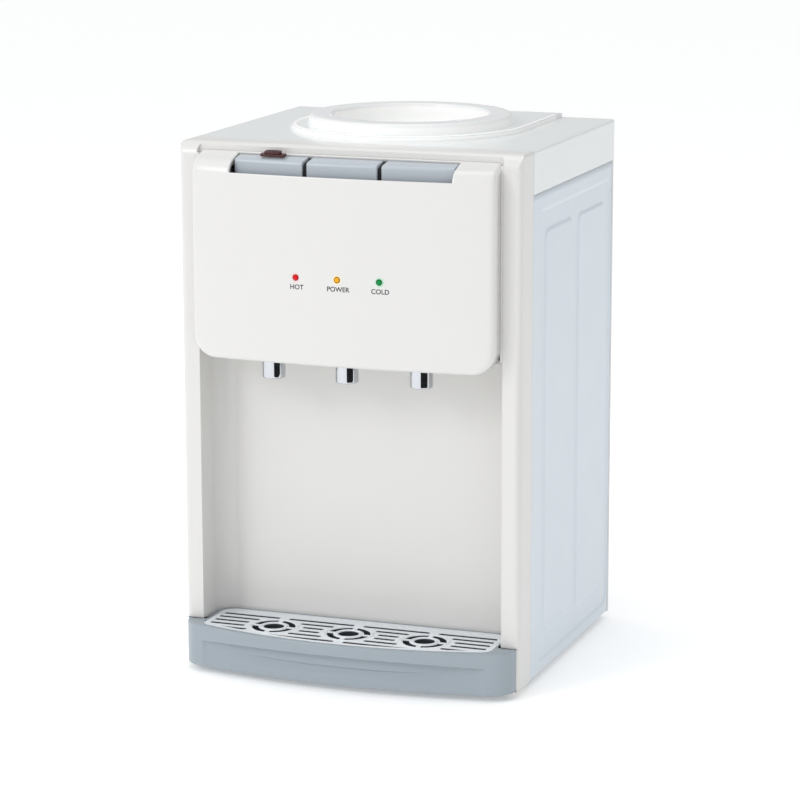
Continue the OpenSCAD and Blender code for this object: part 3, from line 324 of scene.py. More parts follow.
def make_piece(name: str, skins: Sequence[Skin], finish: "Finish", body: str,
               slot: str, replaces: Sequence[str] = (), sharp: float = 38.0,
               wall: float = 0.0, place: Callable[[Array], Array] | None = None
               ) -> bpy.types.Object:
    """Makes one piece of the dispenser out of its surfaces.

    Args:
        name: Name of the piece.
        skins: Its surfaces, in millimetres.
        finish: What it is made of.
        body: CAD body that it rides on.
        slot: The record's material slot; not used.
        replaces: CAD nodes that it stands for.
        sharp: Edges that turn by more than this many degrees stay crisp.
        wall: Thickness given to open surfaces, inwards.
        place: Moves all the points at the end, such as to tilt the piece.

    Returns:
        The new object.
    """
    points, faces, count = [], [], 0
    for skin in skins:
        flat = skin.points.reshape(-1, 3)
        faces += skin.faces(count)
        points.append(flat)
        count += len(flat)
    co = np.concatenate(points)
    co = place(co) if place else co
    mesh = bpy.data.meshes.new(name)
    mesh.from_pydata((co * MM).tolist(), [], faces)
    shell = bmesh.new()
    shell.from_mesh(mesh)
    bmesh.ops.remove_doubles(shell, verts=shell.verts, dist=MERGE)
    bmesh.ops.recalc_face_normals(shell, faces=shell.faces)
    shell.to_mesh(mesh)
    shell.free()
    mesh.polygons.foreach_set("use_smooth", np.ones(len(mesh.polygons), bool))
    mesh.set_sharp_from_angle(angle=math.radians(sharp))
    piece = bpy.data.objects.new(name, mesh)
    bpy.context.scene.collection.objects.link(piece)
    if wall:
        thick = piece.modifiers.new("wall", "SOLIDIFY")
        thick.thickness = wall * MM
        thick.offset = -1
    dress(piece, finish)
    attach(piece, body)
    if replaces:
        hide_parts(*replaces)
    LOG.info("made %s: %d faces", name, len(mesh.polygons))
    return piece


# ------------------------------------------------------------------ materials
def linear(hex_colour: str) -> tuple[float, float, float, float]:
    """Turns an sRGB hex colour into linear light.

    Args:
        hex_colour: Six hex digits after a hash.

    Returns:
        Red, green, blue and full alpha.
    """
    parts = [int(hex_colour[i:i + 2], 16) / 255 for i in (1, 3, 5)]
    light = [p / 12.92 if p <= 0.04045 else ((p + 0.055) / 1.055) ** 2.4 for p in parts]
    return (light[0], light[1], light[2], 1.0)


def add_node(tree: bpy.types.NodeTree, kind: str, inputs: dict | None = None,
             **settings: object) -> bpy.types.Node:
    """Adds a node, sets what is given and links what is linked.

    Args:
        tree: The material's node tree.
        kind: Blender's name for the node.
        inputs: Values or output sockets for its input sockets.
        settings: Values for the node's own properties.

    Returns:
        The node.
    """
    node = tree.nodes.new(kind)
    for name, value in settings.items():
        setattr(node, name, value)
    for name, value in (inputs or {}).items():
        if isinstance(value, bpy.types.NodeSocket):
            tree.links.new(value, node.inputs[name])
        else:
            node.inputs[name].default_value = value
    return node


# How far light travels under a surface that lets it in, in metres.
SHEER_DEPTH = 0.004
# Noise values between which a drift runs from its least to its most.
DRIFT = (0.3, 0.7)
# How many times finer the dulled patches are than the drift in colour.
PATCH = 2.3
# Rays that look for an edge near a point.
EDGE_RAYS = 6


@dataclass(frozen=True)
class Finish:
    """What a surface is made of and how it was made.

    Attributes:
        name: Common name of the material and its making.
        colour: sRGB colour.
        rough: Roughness of the surface.
        metallic: 1 for bare metal.
        wander: How much lighter or darker the colour drifts, as a share.
        wander_mm: Size of that drift.
        grain_mm: Size of the surface's texture.
        grain: Height of that texture in millimetres.
        edge_mm: Radius that catches light along edges.
        stretch: How many times longer the texture is along x, y and z.
        ior: Index of refraction.
        sheer: How far light passes under the surface, as a share.
        glow: Strength of its own light.
        dust: Share of added roughness in large soft patches.
        deep: Colour painted in below a height, as painted shade in slots or painted light
            on lower sides, or an empty word.
        deep_z: Heights in millimetres at which that starts and is full.
    """

    name: str
    colour: str
    rough: float = 0.35
    metallic: float = 0.0
    wander: float = 0.02
    wander_mm: float = 60.0
    grain_mm: float = 0.5
    grain: float = 0.0
    edge_mm: float = 0.0
    stretch: tuple[float, float, float] = (1.0, 1.0, 1.0)
    ior: float = 1.5
    sheer: float = 0.0
    glow: float = 0.0
    dust: float = 0.15
    deep: str = ""
    deep_z: tuple[float, float] = (0.0, 0.0)

    def material(self) -> bpy.types.Material:
        """Gives the Blender material, made once and shared.

        Colour drifts with a soft noise of wander_mm. Roughness drifts with a
        second one. A fine noise of grain_mm lifts the surface by grain. Where deep
        is given, the colour falls to it between the two heights: painted shade or painted
        light by height.

        Returns:
            The material.
        """
        known = bpy.data.materials.get(self.name)
        if known:
            return known
        made = bpy.data.materials.new(self.name)
        made.use_nodes = True
        tree = made.node_tree
        tree.nodes.clear()
        base = np.array(linear(self.colour)[:3])
        where = add_node(tree, "ShaderNodeTexCoord")
        fit = add_node(tree, "ShaderNodeMapping", {
            "Vector": where.outputs["Object"],
            "Scale": tuple(1.0 / s for s in self.stretch)})
        drift = add_node(tree, "ShaderNodeTexNoise", {
            "Vector": fit.outputs[0], "Scale": 1 / (self.wander_mm * MM),
            "Detail": 2.0})
        tint = add_node(tree, "ShaderNodeValToRGB", {"Fac": drift.outputs["Fac"]})
        for stop, at, shade in zip(tint.color_ramp.elements, DRIFT,
                                   (1 - self.wander, 1 + self.wander)):
            stop.position = at
            stop.color = (*np.clip(base * shade, 0, 1), 1.0)
        patch = add_node(tree, "ShaderNodeTexNoise", {
            "Vector": fit.outputs[0], "Scale": PATCH / (self.wander_mm * MM),
            "Detail": 4.0})
        haze = add_node(tree, "ShaderNodeMapRange", {
            "Value": patch.outputs["Fac"], "From Min": DRIFT[0], "From Max": DRIFT[1],
            "To Min": self.rough * (1 - self.dust),
            "To Max": min(1.0, self.rough * (1 + self.dust))})
        colour = tint.outputs["Color"]
        # Painted shade or painted light: below the given heights the colour falls to deep.
        if self.deep:
            parts = add_node(tree, "ShaderNodeSeparateXYZ",
                             {"Vector": where.outputs["Object"]})
            depth = add_node(tree, "ShaderNodeMapRange", {
                "Value": parts.outputs["Z"], "From Min": self.deep_z[0] * MM,
                "From Max": self.deep_z[1] * MM})
            blend = add_node(tree, "ShaderNodeMix", {0: depth.outputs[0]},
                             data_type="RGBA")
            tree.links.new(colour, blend.inputs[6])
            blend.inputs[7].default_value = linear(self.deep)
            colour = blend.outputs[2]
        shader = add_node(tree, "ShaderNodeBsdfPrincipled", {
            "Base Color": colour, "Roughness": haze.outputs[0],
            "Metallic": self.metallic, "Subsurface Weight": self.sheer,
            "Subsurface Scale": SHEER_DEPTH})
        if not self.metallic:
            shader.inputs["IOR"].default_value = self.ior
        if self.glow:
            shader.inputs["Emission Color"].default_value = linear(self.colour)
            shader.inputs["Emission Strength"].default_value = self.glow
        normal = None
        if self.edge_mm:
            normal = add_node(tree, "ShaderNodeBevel", {
                "Radius": self.edge_mm * MM}, samples=EDGE_RAYS).outputs[0]
        if self.grain:
            fine = add_node(tree, "ShaderNodeTexNoise", {
                "Vector": fit.outputs[0], "Scale": 1 / (self.grain_mm * MM),
                "Detail": 3.0})
            bump = add_node(tree, "ShaderNodeBump", {
                "Height": fine.outputs["Fac"], "Distance": self.grain * MM,
                "Strength": 1.0})
            if normal:
                tree.links.new(normal, bump.inputs["Normal"])
            normal = bump.outputs[0]
        if normal:
            tree.links.new(normal, shader.inputs["Normal"])
        add_node(tree, "ShaderNodeOutputMaterial", {"Surface": shader.outputs[0]})
        return made


def dress(piece: bpy.types.Object, finish: Finish) -> None:
    """Gives a piece or a CAD node one finish all over."""
    piece.data.materials.clear()
    piece.data.materials.append(finish.material())


# ABS, injection moulded in a polished tool: bright, even, with soft clear gloss.
COVER = Finish("white_abs_polished", "#DDDCDB", rough=0.22, wander=0.004,
               wander_mm=90, dust=0.05)
# The same ABS where the CAD shape shows: its moulded edge radius catches light.
COVER_EDGED = Finish("white_abs_polished_edged", "#DCDBD9", rough=0.24, wander=0.004,
                     wander_mm=90, edge_mm=1.0, dust=0.05)
# The same ABS on the top cover, kept glossier so that spilt water wipes off.
TOP = Finish("white_abs_top_cover", "#E6E9E9", rough=0.12, wander=0.006,
             wander_mm=90, edge_mm=1.2, dust=0.05)
# A whiter moulding in polypropylene, which lets a little light under its surface. Its
# flat top keeps the base colour, and the sides and bowl under it are painted whiter:
# painted light.
SEAT_TOP = float(box_mm("bottle_collar")[1][2])
COLLAR = Finish("white_polypropylene_collar", "#E6E7E8", rough=0.2, wander=0.003,
                wander_mm=90, dust=0.05, sheer=0.08, deep="#FDFDFC",
                deep_z=(SEAT_TOP - 0.6, SEAT_TOP - 3.5))
# Powder paint on pressed steel: an even satin that blurs what it mirrors.
PANEL = Finish("pale_blue_powder_paint", "#D6DEE6", rough=0.34, wander=0.006,
               dust=0.1)
# Cheaper powder paint on the rear sheet: greyer, duller, with a coarse orange peel.
REAR = Finish("light_grey_powder_paint", "#D4D7DA", rough=0.45, wander=0.012,
              grain_mm=1.6, grain=0.012, edge_mm=0.5)
# Hot dipped zinc: dull metal with spangles about 9 mm wide.
ZINC = Finish("zinc_coated_steel", "#B9BBBC", rough=0.42, metallic=1.0, wander=0.10,
              wander_mm=9, dust=0.35)
# Compression moulded rubber: black and nearly without gloss, with a fine grain.
FOOT = Finish("moulded_rubber_black", "#1B1B1C", rough=0.7, wander=0.08, grain_mm=0.7,
              grain=0.03)
# Grey ABS with a light satin: reads blue beside the white covers.
TRAY = Finish("blue_grey_abs_tray", "#99A3AB", rough=0.26, wander=0.006, wander_mm=80,
              dust=0.05)
# The same ABS down in the basin, painted dark all over: painted shade.
BASIN_SHADE = Finish("blue_grey_abs_basin_painted_shade", "#3C4146", rough=0.5, wander=0.06, wander_mm=30)
# Lighter ABS. Under its top face the narrow slots' walls are painted dark: painted shade.
GRILLE_TOP = float(box_mm("drip_grille")[1][2])
GRILLE = Finish("pale_grey_abs_grille", "#EAEFF4", rough=0.34, wander=0.008,
                edge_mm=0.3, deep="#3A3E45", deep_z=(GRILLE_TOP - 0.15, GRILLE_TOP - 0.6))
# The same ABS on the round ridges, which stand above the slots' shade.
RIDGE = Finish("pale_grey_abs_ridge", "#E6EBF0", rough=0.34, wander=0.008)
# Unpigmented polypropylene of the inner mouldings: milky, a little waxy.
NATURAL = Finish("natural_polypropylene", "#E6E5E0", rough=0.42, wander=0.015,
                 sheer=0.1)
# Bright chrome over polished ABS: a mirror with a slightly blue cast.
CHROME = Finish("chrome_plated_abs", "#CDD0D5", rough=0.03, metallic=1.0, wander=0.01,
                dust=0.5)
# Drawn spring and rod steel: bright, with soft streaks of gloss.
BRIGHT = Finish("bright_steel_wire", "#C6C7C9", rough=0.22, metallic=1.0, wander=0.04)
# Glossier blue-grey ABS, polished further by fingers.
BUTTON = Finish("blue_grey_abs_button", "#B4BCC4", rough=0.22, wander=0.006, dust=0.05)
# Deep red ABS, glossy, which warns without glare.
LOCK = Finish("dark_red_abs", "#3F0509", rough=0.2, wander=0.02)
# Green solder mask over glass fibre: a thin even gloss.
BOARD = Finish("solder_masked_board", "#1C5A36", rough=0.35, wander=0.06, wander_mm=6)
# Tinted epoxy, lit from inside, and a pale ring on the fascia painted in the light's
# colour: a painted glow.
LENS_RED = Finish("red_light_epoxy", "#D4000A", rough=0.12, glow=0.12, ior=1.3)
LENS_AMBER = Finish("amber_light_epoxy", "#F0A000", rough=0.12, glow=0.12, ior=1.3)
LENS_GREEN = Finish("green_light_epoxy", "#00823A", rough=0.12, glow=0.12, ior=1.3)
GLOW_RING_RED = Finish("white_abs_painted_glow_red", "#EFC4C3", rough=0.34)
GLOW_RING_AMBER = Finish("white_abs_painted_glow_amber", "#F1E0B4", rough=0.34)
GLOW_RING_GREEN = Finish("white_abs_painted_glow_green", "#A9DCBC", rough=0.34)
# Deep drawn stainless steel, with fine lines along the draw.
STAINLESS = Finish("drawn_stainless_steel", "#C2C2C1", rough=0.22, metallic=1.0,
                   wander=0.03, grain_mm=0.4, grain=0.004, stretch=(1, 1, 12))
# Bead foam: matt, with beads about 3 mm wide.
FOAM = Finish("expanded_foam", "#EDEAE2", rough=0.85, wander=0.03, wander_mm=5,
              grain_mm=3.0, grain=0.15)
# Extruded aluminium, with die lines along its length.
EXTRUDED = Finish("extruded_aluminium", "#C9CBCD", rough=0.36, metallic=1.0,
                  wander=0.03, grain_mm=0.3, grain=0.006, stretch=(1, 1, 20))
# Fired alumina: off-white and even, with a dry sheen.
ALUMINA = Finish("alumina_ceramic", "#ECEBE6", rough=0.5, wander=0.02)
# Glass filled nylon: black, with a fine dry grain from the fibres.
BLACK = Finish("black_glass_filled_nylon", "#17181A", rough=0.5, wander=0.06,
               grain_mm=0.8, grain=0.02, edge_mm=0.4)
# Rolled brass, warm and a little tarnished by heat.
BAND = Finish("brass_plated_band", "#B59A5A", rough=0.35, metallic=1.0, wander=0.05)
# Extruded silicone, through which light spreads.
SILICONE = Finish("milky_silicone_tube", "#DCDEDD", rough=0.38, wander=0.02, sheer=0.3)
# Moulded nylon rockers, satin with soft edges.
ROCKER_RED = Finish("red_nylon_rocker", "#B01C1C", rough=0.36, wander=0.02, edge_mm=0.4)
ROCKER_GREEN = Finish("green_nylon_rocker", "#1A7A3A", rough=0.36, wander=0.02,
                      edge_mm=0.4)
# Blue polypropylene of the screwed drain cap, satin.
CAP = Finish("blue_polypropylene", "#2A5FA8", rough=0.36, wander=0.02, edge_mm=0.5)
# Pad printed ink: a flat dark grey film on the gloss.
INK = Finish("pad_printed_ink", "#2C2D30", rough=0.55, wander=0.03)
# Flat black fill, laid in gaps and round the lenses as painted shade so that they read as
# depth.
GAP_SHADE = Finish("black_painted_gap_shade", "#15161A", rough=0.8, wander=0.05)

# The finish of each of the record's material slots.
SLOTS: dict[str, Finish] = {
    "white_plastic": COVER_EDGED, "panel_paint": PANEL, "galvanised_steel": ZINC,
    "foot_rubber": FOOT, "tray_grey": TRAY, "grille_grey": GRILLE,
    "inner_plastic": NATURAL, "spout_chrome": CHROME, "bright_steel": BRIGHT,
    "button_grey": BUTTON, "lock_red": LOCK, "board_green": BOARD,
    "led_red": LENS_RED, "led_amber": LENS_AMBER, "led_green": LENS_GREEN,
    "stainless_steel": STAINLESS, "foam": FOAM, "aluminium": EXTRUDED,
    "module_ceramic": ALUMINA, "black_plastic": BLACK, "heater_brass": BAND,
    "silicone": SILICONE, "rocker_red": ROCKER_RED, "rocker_green": ROCKER_GREEN,
    "cap_blue": CAP,
}


# ----------------------------------------------------------------- the casing
@dataclass
class Casing:
    """The covers that keep their CAD shape, and the two pressed side panels.

    Attributes:
        emboss: How deep the press sinks the sheet.
        fold: How far the borders fold inwards.
        bend: Radius of those folds.
        sheet: Thickness of the sheet.
        frame_r: Corner radius of the sunk frame.
        island_r: Corner radius of the two islands in it.
        press_gap: Width of the sunk band beside and between the islands.
        soft: Width over which a pressed step is eased.
        frame_front: From the bezel's front back to the frame.
        frame_rear: From the frame back to the sheet's rear border.
        frame_foot: From the lower border up to the frame.
        frame_head: From the frame up to the sheet's visible top.
        island_foot: From the frame's foot up to the islands.
        island_head: From the islands up to the frame's head.
        covered: How much of the sheet's top the top cover hides.
        near: Reach of the fine grid on each side of a pressed step.
        fine: Grid lines in that reach.
        coarse: Grid lines over the whole depth and the whole height.
    """

    emboss: float = 1.2
    fold: float = 10.0
    bend: float = 1.2
    sheet: float = 0.8
    frame_r: float = 10.0
    island_r: float = 8.0
    press_gap: float = 17.0
    soft: float = 3.0
    frame_front: float = 51.0
    frame_rear: float = 4.0
    frame_foot: float = 9.8
    frame_head: float = 15.6
    island_foot: float = 20.0
    island_head: float = 18.0
    covered: float = 16.0
    near: float = 9.0
    fine: int = 19
    coarse: tuple[int, int] = (30, 40)

    def dress_nodes(self) -> None:
        """Gives every CAD node the finish of its slot, then the special covers."""
        for part in frame["record"]["subparts"]:
            dress(frame["nodes"][part["node"]], SLOTS[part["material_slot"]])
        dress(frame["nodes"]["top_cover"], TOP)
        dress(frame["nodes"]["rear_panel"], REAR)

    def rect_depth(self, y: Array, z: Array, ys: Array, zs: Array, r: float) -> Array:
        """Distance inside a rounded rectangle, positive inside.

        It is the usual signed distance of a box with round corners, turned over.

        Args:
            y: Places along y.
            z: Places along z.
            ys: Its two ends along y.
            zs: Its two ends along z.
            r: Corner radius.

        Returns:
            Distances on the grid of y and z.
        """
        qy = np.abs(y - ys.mean()) - (ys[1] - ys[0]) / 2 + r
        qz = np.abs(z - zs.mean()) - (zs[1] - zs[0]) / 2 + r
        away = np.hypot(np.maximum(qy, 0), np.maximum(qz, 0))
        return r - away - np.minimum(np.maximum(qy, qz), 0)

    def panel(self, side: int) -> Skin:
        """The pressed sheet of one side.

        The sheet lies at its outer plane. It sinks by the emboss depth inside the
        frame's rounded rectangle and rises again inside two islands, each step
        eased over a few millimetres. Front, rear and lower borders fold inwards
        round a small bend.

        Args:
            side: -1 for the left panel and 1 for the right.

        Returns:
            The skin, without thickness.
        """
        name = "side_panel_right" if side > 0 else "side_panel_left"
        low, high = box_mm(name)
        outer = max(abs(low[0]), abs(high[0]))
        bezel_y = box_mm("front_panel")[0][1]
        frame_y = np.array([bezel_y + self.frame_front, high[1] - self.frame_rear])
        top_z = high[2] - self.covered
        frame_z = np.array([low[2] + self.frame_foot, top_z - self.frame_head])
        middle = frame_y.mean()
        islands_y = [np.array([frame_y[0] + self.press_gap, middle - self.press_gap / 2]),
                     np.array([middle + self.press_gap / 2,
                               frame_y[1] - self.press_gap])]
        island_z = np.array([frame_z[0] + self.island_foot,
                             frame_z[1] - self.island_head])
        b = self.bend
        turn = np.linspace(0, math.pi / 2, 5)
        reach = np.linspace(-self.near, self.near, self.fine)
        marks = np.sort(np.concatenate([frame_y, *islands_y]))
        body_y = np.unique(np.round(np.concatenate(
            [(marks[:, None] + reach).ravel(),
             np.linspace(low[1] + b, high[1] - b, self.coarse[0])]), 4))
        body_y = apart(body_y[(body_y >= low[1] + b) & (body_y <= high[1] - b)])
        fold_in = np.array([self.fold, b * 1.5])
        y_line = np.r_[np.full(2, low[1]), low[1] + b * (1 - np.cos(turn))[:-1],
                       body_y, (high[1] - b * (1 - np.sin(turn)))[1:],
                       np.full(2, high[1])]
        drop_y = np.r_[fold_in, b * (1 - np.sin(turn))[:-1], 0 * body_y,
                       (b * (1 - np.cos(turn)))[1:], fold_in[::-1]]
        marks = np.sort(np.concatenate([frame_z, island_z]))
        body_z = np.unique(np.round(np.concatenate(
            [(marks[:, None] + reach).ravel(),
             np.linspace(low[2] + b, high[2], self.coarse[1])]), 4))
        body_z = apart(body_z[(body_z >= low[2] + b) & (body_z <= top_z)])
        z_line = np.r_[np.full(2, low[2]), low[2] + b * (1 - np.cos(turn))[:-1],
                       body_z, top_z]
        drop_z = np.r_[fold_in, b * (1 - np.sin(turn))[:-1], 0 * body_z, 0.0]
        y, z = np.meshgrid(y_line, z_line)
        sink = smooth(0.5 + self.rect_depth(y, z, frame_y, frame_z, self.frame_r)
                      / self.soft)
        for ys in islands_y:
            sink = sink - smooth(0.5 + self.rect_depth(y, z, ys, island_z,
                                                       self.island_r) / self.soft)
        x = outer - np.maximum(drop_y[None, :], drop_z[:, None]) - self.emboss * sink
        return Skin(np.stack([side * x, y, z], -1), loop=False, caps=False)

    def build(self) -> None:
        """Dresses the nodes and makes both side panels."""
        self.dress_nodes()
        for side, name in ((-1, "left"), (1, "right")):
            make_piece(f"pressed_panel_{name}", [self.panel(side)], PANEL, "housing",
                       "panel_paint", [f"side_panel_{name}"], sharp=60,
                       wall=self.sheet)


# ---------------------------------------------------- bowed fascia and buttons
@dataclass
class ShoulderLine:
    """The side view of a bowed cover: up its front, round a shoulder, back a slope.

    Attributes:
        front: y of the front at the middle.
        low: z where the line starts.
        rear: y where the slope ends.
        top: z where the slope ends.
        tilt: Slope of the top in degrees.
        radius: Radius of the shoulder.
        bow: Radius of the bowed front in plan.
    """

    front: float
    low: float
    rear: float
    top: float
    tilt: float
    radius: float
    bow: float

    def __post_init__(self) -> None:
        """Works out a dense line with its normals, to be read by length."""
        slope = math.radians(self.tilt)
        corner = self.top - (self.rear - self.front) * math.tan(slope)
        centre_z = corner - self.radius * math.tan((math.pi / 2 - slope) / 2)
        centre_y = self.front + self.radius
        a = np.linspace(math.pi, math.pi / 2 + slope, 60)
        y = np.r_[self.front, centre_y + self.radius * np.cos(a), self.rear]
        z = np.r_[self.low, centre_z + self.radius * np.sin(a), self.top]
        self._ny = np.r_[-1.0, np.cos(a), -math.sin(slope)]
        self._nz = np.r_[0.0, np.sin(a), math.cos(slope)]
        self._y, self._z = y, z
        self._t = np.r_[0, np.cumsum(np.hypot(np.diff(y), np.diff(z)))]
        self.length = float(self._t[-1])
        self.shoulder = (float(self._t[1]), float(self._t[-2]))

    def at_height(self, z: float) -> float:
        """Length along the line at which it reaches height z."""
        return float(np.interp(z, self._z, self._t))

    def bent(self, x: Array, t: Array, depth: Array | float) -> Array:
        """Places points of the cover.

        The point is the line's point at t, moved inwards by depth along the
        line's normal. Its y then falls back by the bow's sag at x, in full at the
        front and not at all at the rear edge.

        Args:
            x: Places across.
            t: Lengths along the line.
            depth: How far under the surface.

        Returns:
            Points, with x, y and z last.
        """
        py, pz, ny, nz = (np.interp(t, self._t, v)
                          for v in (self._y, self._z, self._ny, self._nz))
        share = (self.rear - py) / (self.rear - self.front)
        y = py - depth * ny + arc_sag(x, self.bow) * share
        return np.stack([x + 0 * t, y, pz - depth * nz + 0 * x], -1)


def edge_strip(line: ShoulderLine, edge: Array, normal: Array, r: float,
               back: Callable[[Array], Array]) -> Skin:
    """Rolls the border of a bowed cover inwards, then runs it straight back.

    Along a quarter round the strip is r sin(a) outwards and r (1 - cos(a)) deep.
    The last row keeps its x and z and takes its y from back.

    Args:
        line: The cover's side line.
        edge: Border points x 2, as (x, t).
        normal: Their outward normals.
        r: Radius of the roll.
        back: Gives the y of the last row from the points before it.

    Returns:
        The skin, open at its ends.
    """
    a = np.linspace(0, math.pi / 2, 7)[:, None]
    x = edge[:, 0] + normal[:, 0] * r * np.sin(a)
    t = edge[:, 1] + normal[:, 1] * r * np.sin(a)
    rolled = line.bent(x, t, r * (1 - np.cos(a)))
    last = rolled[-1].copy()
    last[:, 1] = back(last)
    return Skin(np.concatenate([rolled, last[None]]), loop=False, caps=False)


@dataclass
class FasciaCover:
    """The bowed white fascia with its slot for the buttons.

    Attributes:
        edge: Radius of its rolled border.
        corner: Radius of its lower corners.
        tilt: Slope of its top in degrees.
        shoulder: Radius between its front and its top.
        bow_sag: How far its sides fall back from its middle.
        rim: Width of the strip left behind the slot.
        slot_half: Half the slot's width at its bottom.
        slot_edge: Radius of the slot's front and rear edges.
        slot_end: Radius of the slot's two end edges.
        slot_drop: From the bezel's top down to the slot's front edge.
        slot_wall: How deep the slot's wall goes.
        lip: Width of the lip under the fascia.
        lip_end: From the sides in to where that lip is full.
        lip_ease: Width over which the underside passes from wall to lip.
        skin_t: Thickness of the moulding.
        strip: Width of the strips beside the fascia.
        strip_deep: How far back those strips reach.
        strip_end: Distance of their ends from the fascia's.
    """

    edge: float = 4.0
    corner: float = 20.0
    tilt: float = 15.0
    shoulder: float = 14.0
    bow_sag: float = 8.5
    rim: float = 1.7
    slot_half: float = 97.2
    slot_edge: float = 0.8
    slot_end: float = 2.2
    slot_drop: float = 21.5
    slot_wall: float = 4.0
    lip: float = 7.0
    lip_end: float = 10.0
    lip_ease: float = 6.0
    skin_t: float = 1.6
    strip: float = 1.6
    strip_deep: float = 4.6
    strip_end: float = 9.0

    def __post_init__(self) -> None:
        """Reads the fascia's box and works out its side line."""
        self.low, self.high = box_mm("fascia")
        self.half = self.high[0]
        self.bezel_y = box_mm("front_panel")[0][1]
        self.top_z = box_mm("front_panel")[1][2]
        self.line = ShoulderLine(front=self.low[1], low=self.low[2], rear=self.high[1],
                                 top=self.high[2], tilt=self.tilt,
                                 radius=self.shoulder,
                                 bow=arc_radius(self.half, self.bow_sag))

    def build(self) -> None:
        """Makes the fascia.

        The grid's rows follow the side line. Near the lower corners each row is
        narrowed to the round corner's width, half less r plus r sin(a) at
        r (1 - cos(a)) above the edge. Cells over the slot are left out.
        """
        line, e = self.line, self.edge
        r = self.corner - e
        half = self.half - e
        a = np.linspace(0, math.pi / 2, 13)
        corner_t = e + r * (1 - np.cos(a))
        slot_t = line.at_height(self.top_z - self.slot_drop) - self.slot_edge
        slot_end = line.length - self.rim
        s0, s1 = line.shoulder
        t = np.r_[corner_t, np.linspace(corner_t[-1], s0, 22)[1:],
                  np.linspace(s0, slot_t, 6)[1:], np.linspace(slot_t, s1, 16)[1:],
                  np.linspace(s1, slot_end, 7)[1:], line.length]
        width = np.where(t < corner_t[-1], half - r
                         + np.sqrt(np.maximum(r * r - (e + r - t) ** 2, 0)), half)
        hole = self.slot_half + self.slot_end
        u = spread((-half, -hole, 8), (-hole, hole, 64), (hole, half, 8)) / half
        x = u[None, :] * width[:, None]
        grid = line.bent(x, t[:, None] + 0 * x, 0.0)
        cols = np.abs(u[:-1] + u[1:]) / 2 * half < hole
        rows = ((t[:-1] + t[1:]) / 2 > slot_t) & ((t[:-1] + t[1:]) / 2 < slot_end)
        keep = ~(rows[:, None] & cols[None, :])
        face = Skin(grid, loop=False, caps=False, keep=keep)

        left = np.stack([x[::-1, 0], t[::-1]], 1)
        bottom = np.stack([x[0], 0 * x[0] + t[0]], 1)
        right = np.stack([x[:, -1], t], 1)
        border = np.concatenate([left[:-1], bottom, right[1:]])
        normal = outward(border)
        normal[0], normal[-1] = (-1, 0), (1, 0)
        normal /= np.linalg.norm(normal, axis=1, keepdims=True)

        def back(last: Array) -> Array:
            """Sides run to the bezel; the underside stops at a narrow lip."""
            inside = self.half - self.lip_end - np.abs(last[:, 0])
            under = smooth(inside / self.lip_ease) * (last[:, 2] < self.low[2] + 2)
            return self.high[1] * (1 - under) + (last[:, 1] + self.lip) * under

        i0, i1 = int(np.argmin(abs(t - slot_t))), int(np.argmin(abs(t - slot_end)))
        j0, j1 = int(np.argmin(abs(u * half + hole))), int(np.argmin(abs(u * half - hole)))
        low_x, high_x = x[i0, j0:j1 + 1], x[i1, j0:j1 + 1]
        ring = np.concatenate([
            np.stack([low_x, 0 * low_x + t[i0]], 1)[:-1],
            np.stack([0 * t[i0:i1 + 1] + x[i0, j1], t[i0:i1 + 1]], 1)[:-1],
            np.stack([high_x[::-1], 0 * high_x + t[i1]], 1)[:-1],
            np.stack([0 * t[i0:i1 + 1] + x[i0, j0], t[i0:i1 + 1][::-1]], 1)[:-1]])
        inward = -outward(ring) * [self.slot_end / self.slot_edge, 1.0]
        slot_wall = edge_strip(line, ring, inward, self.slot_edge,
                               lambda last: last[:, 1])
        wall = slot_wall.points
        wall[-1] = line.bent(*(ring + inward * self.slot_edge).T, self.slot_wall)
        slot_wall.loop = True
        self.strips()
        make_piece("fascia_cover",
                   [face, edge_strip(line, border, normal, e, back), slot_wall],
                   COVER, "housing", "white_plastic", ["fascia"], wall=self.skin_t)

    def strips(self) -> None:
        """Fills the narrow gap beside each side of the fascia with a strip."""
        strips = []
        for turn in (-1, 1):
            ends = sorted((turn * (self.half - 0.4), turn * (self.half + self.strip)))
            strips.append(block(
                (ends[0], self.bezel_y + 0.03, self.low[2] + self.strip_end),
                (ends[1], self.bezel_y + self.strip_deep, self.top_z - self.strip_end),
                0.05))
        make_piece("bezel_strips", strips, COVER, "housing", "white_plastic")


